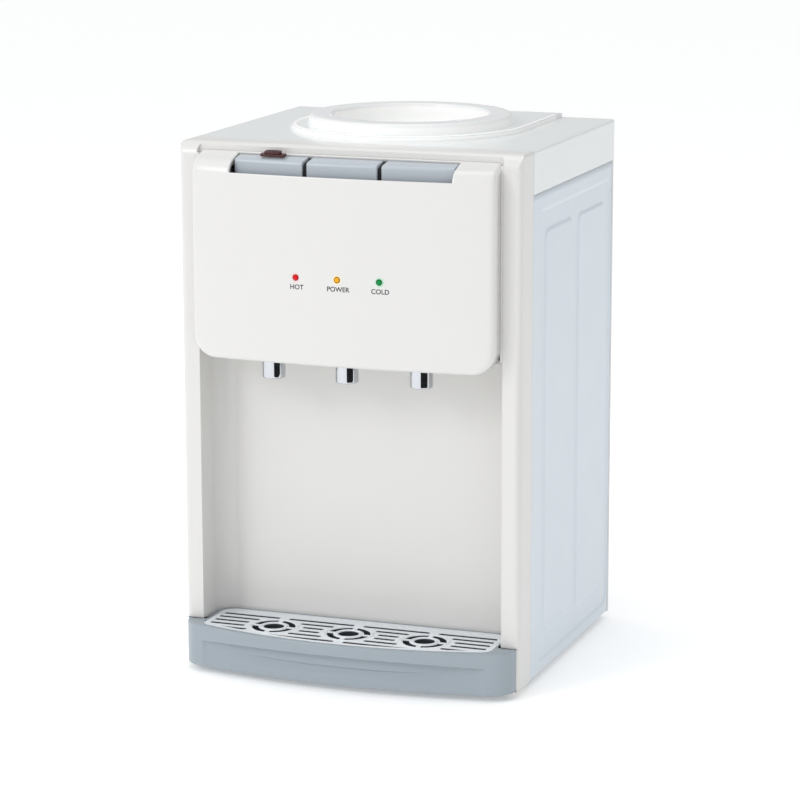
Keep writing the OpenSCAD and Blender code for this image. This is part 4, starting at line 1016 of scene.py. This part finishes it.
@dataclass
class PushButtons:
    """Three bowed push buttons with their arms, and the sliding child lock.

    Attributes:
        edge: Radius of a button's end edges.
        shoulder: Radius between a button's front and its top.
        tilt: Slope of the buttons' tops in degrees.
        back: From the bezel's front back to the buttons' rear.
        deep: From the bezel's top down to the buttons' feet.
        arm: Width of a button's two arms.
        arm_at: Distance of each arm from the button's middle.
        arm_half: Half an arm's height.
        sunk: How far the dark strips of painted shade lie under the buttons' faces.
        clear: Room between those strips and the buttons.
        lock_high: Height of the lock above the button's top.
        rib_pitch: Distance between the ribs on its thumb block.
    """

    edge: float = 0.8
    shoulder: float = 3.0
    tilt: float = 9.0
    back: float = 2.1
    deep: float = 33.0
    arm: float = 5.0
    arm_at: float = 18.0
    arm_half: float = 3.0
    sunk: float = 2.2
    clear: float = 0.25
    lock_high: float = 4.6
    rib_pitch: float = 1.5

    def __post_init__(self) -> None:
        """Reads the boxes that the three buttons share."""
        low, high = box_mm("button_ambient")
        fascia = FasciaCover()
        self.front, self.top = low[1], high[2]
        self.rear = fascia.bezel_y + self.back
        self.low = fascia.top_z - self.deep
        self.bow = fascia.line.bow
        rod_low = box_mm("button_rod")[0]
        self.pivot = (rod_low[1] + 2.0, rod_low[2] + 2.0)

    def button(self, name: str) -> None:
        """Makes one button and its two arms.

        The button's side view is stacked across its width and drawn in by
        e - e sin a near both ends, at e - e cos a from them, which rounds the ends'
        edges. Each point then falls back by the bow's sag at its x, in full at
        the front and not at all at the rear.

        Args:
            name: Which button it is.
        """
        low, high = box_mm(f"button_{name}")
        slope = math.tan(math.radians(self.tilt))
        e = self.edge
        side = rounded([(self.front, self.low, 0.5), (self.rear, self.low, 0.5),
                        (self.rear, self.top, e),
                        (self.front, self.top - (self.rear - self.front) * slope,
                         self.shoulder)], 8)
        levels = soft_levels(low[0], high[0], e, 5)
        across = [(0.0, x) for x in np.linspace(low[0] + e, high[0] - e, 22)[1:-1]]
        skin = rings(side, levels[:6] + across + levels[6:], Plane.SIDE)
        x, y = skin.points[..., 0], skin.points[..., 1]
        share = (self.rear - y) / (self.rear - self.front)
        skin.points[..., 1] = y + arc_sag(x, self.bow) * share
        make_piece(f"push_button_{name}", [skin], BUTTON, f"button_{name}_body",
                   "button_grey", [f"button_{name}"])
        middle = (low[0] + high[0]) / 2
        pivot_y, pivot_z = self.pivot
        arms = [block((middle + at - self.arm / 2, self.rear - 3,
                       pivot_z - self.arm_half),
                      (middle + at + self.arm / 2, pivot_y, pivot_z + self.arm_half),
                      self.edge) for at in (-self.arm_at, self.arm_at)]
        make_piece(f"button_arms_{name}", arms, BUTTON, f"button_{name}_body",
                   "button_grey")

    def gaps(self) -> None:
        """Lays a dark strip low in each gap beside the buttons, as painted shade."""
        hot, middle = box_mm("button_hot"), box_mm("button_ambient")
        half = (middle[0][0] - hot[1][0]) / 2 - self.clear
        d = self.sunk
        slope = math.tan(math.radians(self.tilt))
        side = rounded([(self.front + d, self.low, 0.5), (self.rear - 1.5, self.low, 0.5),
                        (self.rear - 1.5, self.top - d, 0.5),
                        (self.front + d, self.top - d - (self.rear - self.front) * slope,
                         self.shoulder)], 6)
        skins = []
        for x in (middle[0][0] - half - self.clear, middle[1][0] + half + self.clear):
            skin = rings(side, [(0.0, x - half), (0.0, x + half)], Plane.SIDE)
            skin.points[..., 1] += arc_sag(x, self.bow)
            skins.append(skin)
        make_piece("gap_painted_shade", skins, GAP_SHADE, "housing", "black_plastic")

    def lock(self) -> None:
        """Makes the red lock: a thin plate and a gripped thumb block above it."""
        low, high = box_mm("child_lock")
        tilt = math.radians(self.tilt)
        x, y = (low[0] + high[0]) / 2, (low[1] + high[1]) / 2
        seat = high[2] - self.lock_high
        plate = slab((11.0, 3.0), 1.5, (0.2, 2.4), 0.6)
        thumb = slab((7.2, 2.6), 1.2, (2.2, 4.8), 0.8)
        ribs = [block((k - 0.35, -2.0, 4.6), (k + 0.35, 2.0, 5.1), 0.2)
                for k in np.arange(-3, 4) * self.rib_pitch]

        def place(co: Array) -> Array:
            """Leans the lock back with the button's top and puts it there."""
            yy = co[:, 1] * math.cos(tilt) - co[:, 2] * math.sin(tilt)
            zz = co[:, 1] * math.sin(tilt) + co[:, 2] * math.cos(tilt)
            return np.stack([co[:, 0] + x, yy + y, zz + seat], 1)

        make_piece("lock_slider", [plate, thumb, *ribs], LOCK, "lock_body", "lock_red",
                   ["child_lock"], place=place)

    def build(self) -> None:
        """Makes the three buttons and the lock."""
        for name in ("hot", "ambient", "cold"):
            self.button(name)
        self.gaps()
        self.lock()


# ------------------------------------------------------------ lights and words
@dataclass
class Lights:
    """The domed indicator lights with the words printed under them.

    Attributes:
        lens: Radius of a lens.
        rim: Outer radius of the dark rim round it, painted shade of the gap round the lens.
        lit: Outer radius of the pale ring round the rim, coloured as a painted glow of the
            light.
        letter: Height that the letters are set in.
        gap: From a light's middle down to its word's.
        shift: From a light's middle across to its word's.
        ink: How far the print stands off the face.
    """

    lens: float = 2.15
    rim: float = 2.62
    lit: float = 3.9
    letter: float = 5.6
    gap: float = 8.0
    shift: float = 0.9
    ink: float = 0.06

    def build(self) -> None:
        """Makes a lens, its dark rim of painted shade, its ring of painted glow and a
        printed word for each light.
        """
        fascia = FasciaCover()
        for name, word, finish, lit in (("hot", "HOT", LENS_RED, GLOW_RING_RED),
                                        ("power", "POWER", LENS_AMBER, GLOW_RING_AMBER),
                                        ("cold", "COLD", LENS_GREEN, GLOW_RING_GREEN)):
            low, high = box_mm(f"led_{name}")
            x, z = (low[0] + high[0]) / 2, (low[2] + high[2]) / 2
            face_y = fascia.low[1] + float(arc_sag(np.array(x), fascia.line.bow))
            self.dome(name, (x, face_y, z), finish, lit)
            self.word(word, x + self.shift, z - self.gap, fascia)

    def dome(self, name: str, spot: tuple[float, float, float], finish: Finish,
             lit: Finish) -> None:
        """Makes one lens with its dark rim of painted shade and its ring of painted glow,
        turned to the front.

        The lens is half an ellipse turned about its axis, on a short barrel.

        Args:
            name: Which light it is.
            spot: Its middle on the fascia's face.
            finish: What the lens is made of.
            lit: The ring's finish, a painted glow of the light.
        """
        x, face_y, z = spot
        slot = {"hot": "led_red", "power": "led_amber", "cold": "led_green"}[name]
        a = np.linspace(0, math.pi / 2, 9)
        barrel = np.array([[self.lens, -1.0]])
        cap = np.stack([self.lens * np.cos(a), 0.1 + 1.0 * np.sin(a)], 1)
        cap[-1, 0] = 0.02
        lens = revolved(np.concatenate([barrel, cap]), (0, 0), 40, round_trip=False)
        inner, outer = self.lens - 0.05, self.rim
        rim = revolved(np.array([[inner, -0.5], [inner, 0.3], [outer, 0.3],
                                 [outer, -0.5]]), (0, 0), 40)
        ring = revolved(np.array([[outer, -0.5], [outer, 0.14], [3.2, 0.12],
                                  [self.lit, 0.03], [self.lit, -0.5]]), (0, 0), 40)

        def face(co: Array) -> Array:
            """Turns the height towards the front."""
            return np.stack([co[:, 0] + x, face_y - co[:, 2], co[:, 1] + z], 1)

        make_piece(f"light_lens_{name}", [lens], finish, "housing", slot, place=face)
        # The dark rim is painted shade of the gap round the lens.
        make_piece(f"painted_shade_rim_{name}", [rim], GAP_SHADE, "housing", slot, place=face)
        # The pale ring is a painted glow of the light on the fascia.
        make_piece(f"painted_glow_ring_{name}", [ring], lit, "housing", "white_plastic",
                   place=face)

    def word(self, text: str, x: float, z: float, fascia: FasciaCover) -> None:
        """Prints a word on the bowed face, each point laid on its arc.

        Args:
            text: The word.
            x: Its middle.
            z: Its middle height.
            fascia: The cover that it lies on.
        """
        curve = bpy.data.curves.new(f"print_{text}", "FONT")
        curve.body = text
        curve.size = self.letter
        curve.align_x, curve.align_y = "CENTER", "CENTER"
        curve.space_character = 1.02
        curve.offset = 0.1
        maker = bpy.data.objects.new("maker", curve)
        bpy.context.scene.collection.objects.link(maker)
        bpy.context.view_layer.update()
        flat = maker.evaluated_get(bpy.context.evaluated_depsgraph_get())
        mesh = bpy.data.meshes.new_from_object(flat)
        bpy.data.objects.remove(maker)
        co = np.zeros(len(mesh.vertices) * 3)
        mesh.vertices.foreach_get("co", co)
        co = co.reshape(-1, 3)
        px = co[:, 0] + x
        y = fascia.low[1] + arc_sag(px, fascia.line.bow) - self.ink
        mesh.vertices.foreach_set(
            "co", (np.stack([px, y, co[:, 1] + z], 1) * MM).ravel())
        mesh.update()
        piece = bpy.data.objects.new(f"word_{text.lower()}", mesh)
        bpy.context.scene.collection.objects.link(piece)
        dress(piece, INK)
        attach(piece, "housing")


# ------------------------------------------------------------------- the taps
@dataclass
class Taps:
    """Three chromed spouts with rolled lips."""

    bore: float = 7.5
    lip: float = 1.6

    def build(self) -> None:
        """Turns each spout's wall: up the bore, round the lip and up outside."""
        for name in ("hot", "ambient", "cold"):
            low, high = box_mm(f"spout_{name}")
            x, y = (low[0] + high[0]) / 2, (low[1] + high[1]) / 2
            r = (high[0] - low[0]) / 2
            a = np.linspace(-math.pi / 2, 0, 7)
            z = low[2]
            wall = np.concatenate([
                [[self.bore, high[2]], [self.bore, z + 0.8], [self.bore + 0.5, z]],
                np.stack([r - self.lip + self.lip * np.cos(a),
                          z + self.lip + self.lip * np.sin(a)], 1),
                [[r, z + 9.5], [r, high[2]]]])
            make_piece(f"spout_shell_{name}", [revolved(wall, (x, y), 72)], CHROME,
                       "housing", "spout_chrome", [f"spout_{name}"])


# --------------------------------------------------------------- the drip tray
@dataclass
class DripTray:
    """The blue-grey tray with its finger grip, and the ring ridges on the grille.

    Attributes:
        sag: How far the front's sides fall back from its middle.
        corner: Radius of the tray's front corners and of the basin's rear ones.
        post: Width of the bezel on each side of the alcove.
        wall: Thickness of the basin's wall.
        basin_deep: From the rim down to the basin's floor.
        rim_r: Radius of the rim.
        foot_r: Radius of the lower edge.
        grip_height: Height of the grip's ledge at its ends, above the tray's foot.
        grip_half: Half the grip's width.
        grip_deep: How much deeper the grip is at its middle.
        grip_step: How deep it is at its ends.
        grip_rise: How far the ledge arches up towards the middle.
        front_steps: Points along the front.
        pitch: Distance between the grille's ring targets.
        ring_out: How far the targets' middles stand in front of the bezel.
    """

    sag: float = 26.0
    corner: float = 14.0
    post: float = 17.0
    wall: float = 2.4
    basin_deep: float = 22.0
    rim_r: float = 1.6
    foot_r: float = 1.2
    grip_height: float = 25.0
    grip_half: float = 126.0
    grip_deep: float = 8.0
    grip_step: float = 2.2
    grip_rise: float = 3.4
    front_steps: int = 120
    pitch: float = 68.0
    ring_out: float = 3.0

    def __post_init__(self) -> None:
        """Reads the tray's and grille's boxes and works out the shared bow."""
        self.low, self.high = box_mm("drip_tray")
        self.glow, self.ghigh = box_mm("drip_grille")
        self.bezel_y = box_mm("front_panel")[0][1]
        self.half = self.high[0]
        self.bow = arc_radius(self.half, self.sag)

    def front_line(self, half: float, front: float, r: float, count: int) -> Array:
        """A bowed front from the left side to the right, with round corners.

        Args:
            half: Half its width.
            front: y of its middle.
            r: Radius of its corners.
            count: Steps along it.

        Returns:
            Points x 2.
        """
        x = np.linspace(-half, half, 400)
        y = front + arc_sag(x, self.bow)
        line = np.stack([x, y], 1)
        if r > 0:
            # each end is eased into the side with a superellipse-like corner
            out = np.maximum(np.abs(x) - (half - r), 0) / r
            line[:, 1] += r * (1 - np.sqrt(np.maximum(1 - out ** 2, 0)))
        return resample(line, count, close=True)

    def t_outline(self, inset: float) -> Array:
        """The tray's plan: bowed front, sides, a step at the bezel and the basin.

        Args:
            inset: How far it is drawn in.

        Returns:
            Points x 2.
        """
        r = self.corner
        front = self.front_line(self.half - inset, self.low[1] + inset, r - inset,
                                self.front_steps)
        step_y = self.bezel_y - 0.3
        basin = box_mm("front_panel")[1][0] - self.post - inset
        back = self.high[1] - inset
        a = np.linspace(0, math.pi / 2, 9)
        right = np.concatenate([
            resample(np.array([front[-1], [self.half - inset, step_y]]), 6)[1:],
            resample(np.array([[self.half - inset, step_y], [basin, step_y]]), 6),
            resample(np.array([[basin, step_y], [basin, back - r]]), 10),
            np.stack([basin - r + r * np.cos(a), back - r + r * np.sin(a)], 1)])
        left = right[::-1] * [-1, 1]
        back_line = resample(np.stack([right[-1], left[0]]), 40)[1:]
        return np.concatenate([front, right, back_line, left])

    def grille_outline(self, inset: float) -> Array:
        """The grille's plan with as many points as the tray's in each stretch.

        Args:
            inset: How far it is drawn in.

        Returns:
            Points x 2.
        """
        half = self.ghigh[0] - inset
        front = self.front_line(half, self.glow[1] + inset, 7.0, self.front_steps)
        back = self.ghigh[1] - inset
        r = 12.0
        a = np.linspace(0, math.pi / 2, 9)
        right = np.concatenate([
            resample(np.array([front[-1], [half, back - r]]), 21)[1:],
            np.array([[half, back - r]]) + 0.0,
            np.stack([half - r + r * np.cos(a), back - r + r * np.sin(a)], 1)])
        left = right[::-1] * [-1, 1]
        back_line = resample(np.stack([right[-1], left[0]]), 40)[1:]
        return np.concatenate([front, right, back_line, left])

    def build(self) -> None:
        """Makes the tray and the ridges.

        The outer wall's inset at height h is a fillet at the rim and the foot plus
        the finger grip. The grip is deepest at the middle, fades to nothing at its
        ends as 1 - (x / half)^2, and under its ledge eases from nothing to full
        over a few millimetres. The ledge arches up by grip_rise towards the middle.
        """
        outer = self.t_outline(0.0)
        inner = self.grille_outline(-0.3)
        normal = outward(outer)
        normal /= np.maximum(np.linalg.norm(normal, axis=1, keepdims=True), 1.0)
        is_front = (normal[:, 1] < -0.3) & (outer[:, 1] < self.bezel_y - self.corner)
        z0, z1 = self.low[2], self.high[2]
        r, e = self.rim_r, self.foot_r
        a = np.linspace(0, math.pi / 2, 6)
        heights = np.r_[z0 + e * (1 - np.cos(a)), np.linspace(z0 + e, z0 + 19, 10)[1:],
                        np.linspace(z0 + 19, z0 + 28.5, 24)[1:],
                        np.linspace(z0 + 28.5, z1 - r, 4)[1:], z1 - r + r * np.sin(a)[1:]]
        edge_in = np.where(heights < z0 + e, e - np.sqrt(
            np.maximum(e ** 2 - (z0 + e - heights) ** 2, 0)), 0.0)
        top_in = np.where(heights > z1 - r,
                          r - np.sqrt(np.maximum(r ** 2 - (heights - z1 + r) ** 2, 0)), 0.0)
        arch = self.grip_rise * (0.6 - (outer[:, 0] / self.grip_half) ** 2)
        h = heights[:, None] - z0 - arch[None, :]
        shape = smooth((self.grip_height - h) / 1.4) * (
            1.0 - 0.35 * smooth((self.grip_height - 3 - h) / 18))
        fade = np.clip(1 - (np.abs(outer[:, 0]) / self.grip_half) ** 2.2, 0, 1)
        across = self.grip_deep * fade * is_front + self.grip_step * smooth(
            (self.grip_half - np.abs(outer[:, 0])) / 3) * is_front
        inset = edge_in[:, None] + top_in[:, None] + shape * across[None, :]
        plan = outer[None] - normal[None] * inset[..., None]
        rows = [np.concatenate([plan, np.broadcast_to(
            heights[:, None, None], plan.shape[:2] + (1,))], -1)]
        ledge = self.glow[2] - 0.2
        floor = z1 - self.basin_deep
        basin = self.grille_outline(self.wall)
        for loop, z in ((inner, z1), (inner, z1 - 0.3), (inner, ledge),
                        (basin, ledge), (basin, floor + 2),
                        (self.grille_outline(4.4), floor)):
            rows.append(np.concatenate([loop, np.full((len(loop), 1), z)], 1)[None])
        rim = (outer - normal * r) * 0.35 + inner * 0.65
        rows.insert(1, np.concatenate([rim, np.full((len(rim), 1), z1)], 1)[None])
        make_piece("tray_shell", [Skin(np.concatenate(rows))], TRAY, "tray_body",
                   "tray_grey", ["drip_tray"], sharp=32)
        self.lay_basin_shade(ledge, floor)
        self.ridges()

    def lay_basin_shade(self, ledge: float, floor: float) -> None:
        """Lays a thin dark skin over the basin's walls and floor, as painted shade.

        Args:
            ledge: Height of the ledge that the grille rests on.
            floor: Height of the basin's floor.
        """
        levels = ((1.0, ledge - 0.2), (self.wall + 0.3, ledge - 0.5),
                  (self.wall + 0.3, floor + 2), (2 * self.wall, floor + 0.3))
        rows = [np.insert(self.grille_outline(inset), 2, z, axis=1)
                for inset, z in levels]
        make_piece("basin_painted_shade", [Skin(np.array(rows))], BASIN_SHADE, "tray_body",
                   "tray_grey", sharp=32)

    def ridges(self) -> None:
        """Makes two low half-round ridges round each ring target of the grille."""
        y, z = self.bezel_y - self.ring_out, self.ghigh[2]
        skins = []
        a = np.linspace(0, math.pi, 8)
        for x in (-self.pitch, 0.0, self.pitch):
            for radius, width, height in ((10.6, 1.3, 0.9), (20.4, 1.3, 0.7)):
                bead = np.stack([radius + width * np.cos(a),
                                 z - 0.05 + height * np.sin(a)], 1)
                skins.append(revolved(bead, (x, y), 64))
        make_piece("grille_ridges", skins, RIDGE, "grille_body", "grille_grey")


# -------------------------------------------------------------- the bottle seat
@dataclass
class BottleSeat:
    """The lift-out collar: a rounded ring that runs down into a bowl and neck.

    Attributes:
        inner: Radius of the ring's inner edge.
        neck: Radius inside the neck.
        wall: Thickness of the moulding.
        ring: Height of the ring above its foot.
        flat: Width of the ring outside the well.
        shoulder: Radius of the ring's outer edge.
        draught: How far the ring leans in up to that edge.
        lip: Radius of the ring's inner edge in section.
        bowl: Depth of the bowl under the ring's top.
        platform: Half the width of the top cover's platform.
        platform_high: Height of that platform.
        bead: Radius of the bead along the platform's rim, across it.
        bead_proud: How far the bead rises above the platform.
        bead_sunk: How far its foot goes into the top cover.
        nub_at: From the ring's inner edge out to the two nubs.
    """

    inner: float = 67.5
    neck: float = 30.0
    wall: float = 2.5
    ring: float = 9.0
    flat: float = 9.0
    shoulder: float = 3.0
    draught: float = 1.4
    lip: float = 1.8
    bowl: float = 46.0
    platform: float = 102.0
    platform_high: float = 3.5
    bead: float = 3.8
    bead_proud: float = 0.8
    bead_sunk: float = 0.6
    nub_at: float = 3.5

    def build(self) -> None:
        """Turns the collar's wall about the bottle's axis.

        Outside it rises with a slight draught to a 3 mm round, crosses the flat
        ring, rolls over the inner edge and follows a quarter ellipse down to the
        neck; the underside comes back at the wall's thickness.
        """
        low, high = box_mm("bottle_collar")
        centre = ((low[0] + high[0]) / 2, (low[1] + high[1]) / 2)
        outer = (high[0] - low[0]) / 2
        top, foot = high[2], high[2] - self.ring
        well = outer - self.flat
        a = np.linspace(0, math.pi / 2, 8)
        q = np.linspace(0, math.pi / 2, 28)
        r, e = self.shoulder, self.lip
        edge = np.stack([outer - self.draught - r + r * np.cos(a),
                         top - r + r * np.sin(a)], 1)
        lip = np.stack([self.inner + e - e * np.sin(a), top - e + e * np.cos(a)], 1)
        deep = top - self.bowl
        bowl = np.stack([self.neck + (self.inner - 1 - self.neck) * np.cos(q),
                         top - 6 - (top - 6 - deep) * np.sin(q)], 1)
        under = np.stack([self.neck + self.wall + (self.inner - 1 - self.neck) * np.cos(q),
                          top - 8.5 - (top - 6 - deep) * np.sin(q)], 1)[::-1]
        wall = np.concatenate([
            [[outer, foot], [outer - 0.5, foot + 3]], edge, [[well, top]],
            lip, bowl, [[self.neck, low[2]], [self.neck + self.wall, low[2]]], under,
            [[well - self.wall, top - 14], [well - self.wall, foot - 17],
             [well, foot - 17], [well, foot]]])
        make_piece("collar_shell", [revolved(wall, centre, 144)], COLLAR, "collar_body",
                   "white_plastic", ["bottle_collar"])
        self.platform_bead(centre)
        nubs = []
        for turn in (215.0, 325.0):
            c = math.radians(turn)
            x = centre[0] + (self.inner + self.nub_at) * math.cos(c)
            y = centre[1] + (self.inner + self.nub_at) * math.sin(c)
            nub = np.array([[2.0, top - 0.1], [1.7, top + 0.25], [0.9, top + 0.45],
                            [0.02, top + 0.5]])
            nubs.append(revolved(nub, (x, y), 20, round_trip=False))
        make_piece("collar_nubs", nubs, COLLAR, "collar_body", "white_plastic")

    def platform_bead(self, centre: tuple[float, float]) -> None:
        """Rolls the platform's rim: a half round along its front and two sides.

        The path is half a circle about the bottle's axis with a straight run to
        the rear at each end. The section's point at angle a is bead cos a outwards
        and rise sin a up, and both shrink to nothing at the ends.

        Args:
            centre: x and y of the bottle's axis.
        """
        low, high = box_mm("top_cover")
        foot = high[2] - self.platform_high
        r = self.platform - 2.4
        turn = np.linspace(math.pi, 2 * math.pi, 121)
        back = high[1] - 14.0
        run = np.linspace(0, 1, 25)[:-1]
        path = np.concatenate([
            np.stack([centre[0] - r + 0 * run, back + (centre[1] - back) * run], 1),
            np.stack([centre[0] + r * np.cos(turn), centre[1] + r * np.sin(turn)], 1),
            np.stack([centre[0] + r + 0 * run, back + (centre[1] - back) * run],
                     1)[::-1]])
        side = np.gradient(path, axis=0)
        side /= np.linalg.norm(side, axis=1, keepdims=True)
        normal = np.stack([side[:, 1], -side[:, 0]], 1)
        walked = np.r_[0, np.cumsum(np.linalg.norm(np.diff(path, axis=0), axis=1))]
        near = np.minimum(walked, walked[-1] - walked)
        size = np.sqrt(np.clip(1 - (1 - np.clip(near / self.bead, 0.02, 1)) ** 2, 0, 1))
        a = np.linspace(0, math.pi, 13)
        across = self.bead * np.cos(a)[None, :] * size[:, None]
        proud = self.platform_high + self.bead_proud + self.bead_sunk
        rise = proud * np.sin(a)[None, :] * size[:, None]
        flat = path[:, None, :] + normal[:, None, :] * across[..., None]
        # The bead takes the collar's finish, so it gets the whiter colour painted below the
        # ring's top: painted light.
        make_piece("platform_bead", [Skin(np.concatenate(
            [flat, (foot - self.bead_sunk + rise)[..., None]], -1))], COLLAR, "housing",
                   "white_plastic")


# ------------------------------------------------------------------ the studio
@dataclass
class Studio:
    """Camera, floor, soft lights and the pale surroundings.

    Attributes:
        eye: Where the camera stands, in metres.
        azimuth: Its angle round to the right of the front, in degrees.
        elevation: Its angle above the level, in degrees.
        roll: Its turn about its own axis, in degrees.
        lens: Its focal length on a 36 mm sensor.
        room: Strength of the surroundings' light.
        card: Angles between which the black card stands, in degrees.
        card_away: Its distance, in metres.
        card_high: Its height, in metres.
        floor_half: Half the floor's width, in metres.
    """

    eye: tuple[float, float, float] = (0.9104, -2.4813, 0.7808)
    azimuth: float = 20.055
    elevation: float = 11.967
    roll: float = -0.1216
    lens: float = 140.6
    room: float = 1.0
    card: tuple[float, float] = (15.0, 76.0)
    card_away: float = 0.9
    card_high: float = 0.16
    floor_half: float = 9.0

    def camera(self) -> None:
        """Stands the camera and makes it the scene's own."""
        a, e = math.radians(self.azimuth), math.radians(self.elevation)
        back = Vector((math.sin(a) * math.cos(e), -math.cos(a) * math.cos(e),
                       math.sin(e)))
        data = bpy.data.cameras.new("camera")
        data.lens, data.sensor_width = self.lens, 36.0
        data.clip_end = 50.0
        camera = bpy.data.objects.new("camera", data)
        turn = (-back).to_track_quat("-Z", "Y").to_matrix().to_4x4()
        camera.matrix_world = (Matrix.Translation(self.eye) @ turn
                               @ Matrix.Rotation(math.radians(self.roll), 4, "Z"))
        bpy.context.scene.collection.objects.link(camera)
        bpy.context.scene.camera = camera

    def lamp(self, name: str, place: tuple[float, float, float],
             aim: tuple[float, float, float], size: float, power: float) -> None:
        """Hangs a square soft box at a place, turned to what it lights.

        Args:
            name: Name of the lamp.
            place: Where it hangs, in metres.
            aim: What it is turned to.
            size: Its side, in metres.
            power: Its power in watts.
        """
        data = bpy.data.lights.new(name, "AREA")
        data.shape, data.size, data.energy = "SQUARE", size, power
        lamp = bpy.data.objects.new(name, data)
        lamp.location = place
        lamp.rotation_euler = (Vector(aim) - Vector(place)).to_track_quat(
            "-Z", "Y").to_euler()
        bpy.context.scene.collection.objects.link(lamp)

    def surroundings(self) -> None:
        """Lights the scene from a pale room, whiter at the front left."""
        world = bpy.data.worlds.new("studio")
        bpy.context.scene.world = world
        world.use_nodes = True
        tree = world.node_tree
        tree.nodes.clear()
        where = add_node(tree, "ShaderNodeTexCoord")
        lean = add_node(tree, "ShaderNodeVectorMath", {
            0: where.outputs["Generated"], 1: (0.55, 0.8, -0.25)},
            operation="DOT_PRODUCT")
        ramp = add_node(tree, "ShaderNodeValToRGB", {"Fac": add_node(
            tree, "ShaderNodeMapRange", {"Value": lean.outputs["Value"],
                                         "From Min": -1.0, "From Max": 1.0}).outputs[0]})
        ramp.color_ramp.elements[0].color = linear("#FFFFFF")
        ramp.color_ramp.elements[1].color = linear("#B6B9BA")
        room = add_node(tree, "ShaderNodeBackground",
                        {"Color": ramp.outputs[0], "Strength": self.room})
        plain = add_node(tree, "ShaderNodeBackground",
                         {"Color": linear("#FFFFFF"), "Strength": 1.0})
        ray = add_node(tree, "ShaderNodeLightPath")
        mix = add_node(tree, "ShaderNodeMixShader", {
            "Fac": ray.outputs["Is Camera Ray"]})
        tree.links.new(room.outputs[0], mix.inputs[1])
        tree.links.new(plain.outputs[0], mix.inputs[2])
        add_node(tree, "ShaderNodeOutputWorld", {"Surface": mix.outputs[0]})

    def sheet(self, name: str, corners: list[tuple[float, float, float]],
              finish: Finish) -> bpy.types.Object:
        """Makes a flat staged sheet.

        Args:
            name: Name of the sheet.
            corners: Its four corners, in metres.
            finish: What it is made of.

        Returns:
            The new object.
        """
        mesh = bpy.data.meshes.new(name)
        mesh.from_pydata(corners, [], [(0, 1, 2, 3)])
        plane = bpy.data.objects.new(name, mesh)
        bpy.context.scene.collection.objects.link(plane)
        dress(plane, finish)
        return plane

    def floor(self) -> None:
        """Lays a wide pale floor, and stands a low black card for the chrome.

        The card is seen in reflections only, as a studio's flag is kept out of the
        picture.
        """
        half = self.floor_half
        self.sheet("floor", [(-half, -half, 0), (half, -half, 0), (half, half, 0),
                             (-half, half, 0)],
                   Finish("pale_seamless_paper", "#FDFDFD", rough=0.9, wander=0.001,
                          glow=0.22))
        near, far = math.radians(self.card[0]), math.radians(self.card[1])
        ends = [(self.card_away * math.sin(a), -self.card_away * math.cos(a))
                for a in (near, far)]
        card = self.sheet("black_card", [(*ends[0], 0.0), (*ends[1], 0.0),
                                         (*ends[1], self.card_high),
                                         (*ends[0], self.card_high)],
                          Finish("black_flag_cloth", "#0B0B0C", rough=0.9))
        card.visible_camera = False
        card.visible_diffuse = False
        card.visible_shadow = False

    def lights(self) -> None:
        """Hangs a large soft box over the front left and a weak one above."""
        aim = (0.0, 0.0, 0.23)  # the middle of the casing, in metres
        self.lamp("key", (-1.2, -2.0, 1.6), aim, 0.8, 12.0)
        self.lamp("over", (0.0, 0.1, 2.2), aim, 1.2, 7.0)
        scene = bpy.context.scene
        scene.view_settings.view_transform = "Standard"


def main() -> None:
    """Builds the dispenser's looks in order."""
    logging.basicConfig(level=logging.INFO, format="%(message)s")
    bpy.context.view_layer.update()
    studio = Studio()
    studio.camera()
    studio.surroundings()
    studio.floor()
    studio.lights()
    for part in (Casing(), FasciaCover(), PushButtons(), Lights(), Taps(), DripTray(),
                 BottleSeat()):
        part.build()
        LOG.info("built %s", type(part).__name__)


if __name__ == "__main__":
    main()
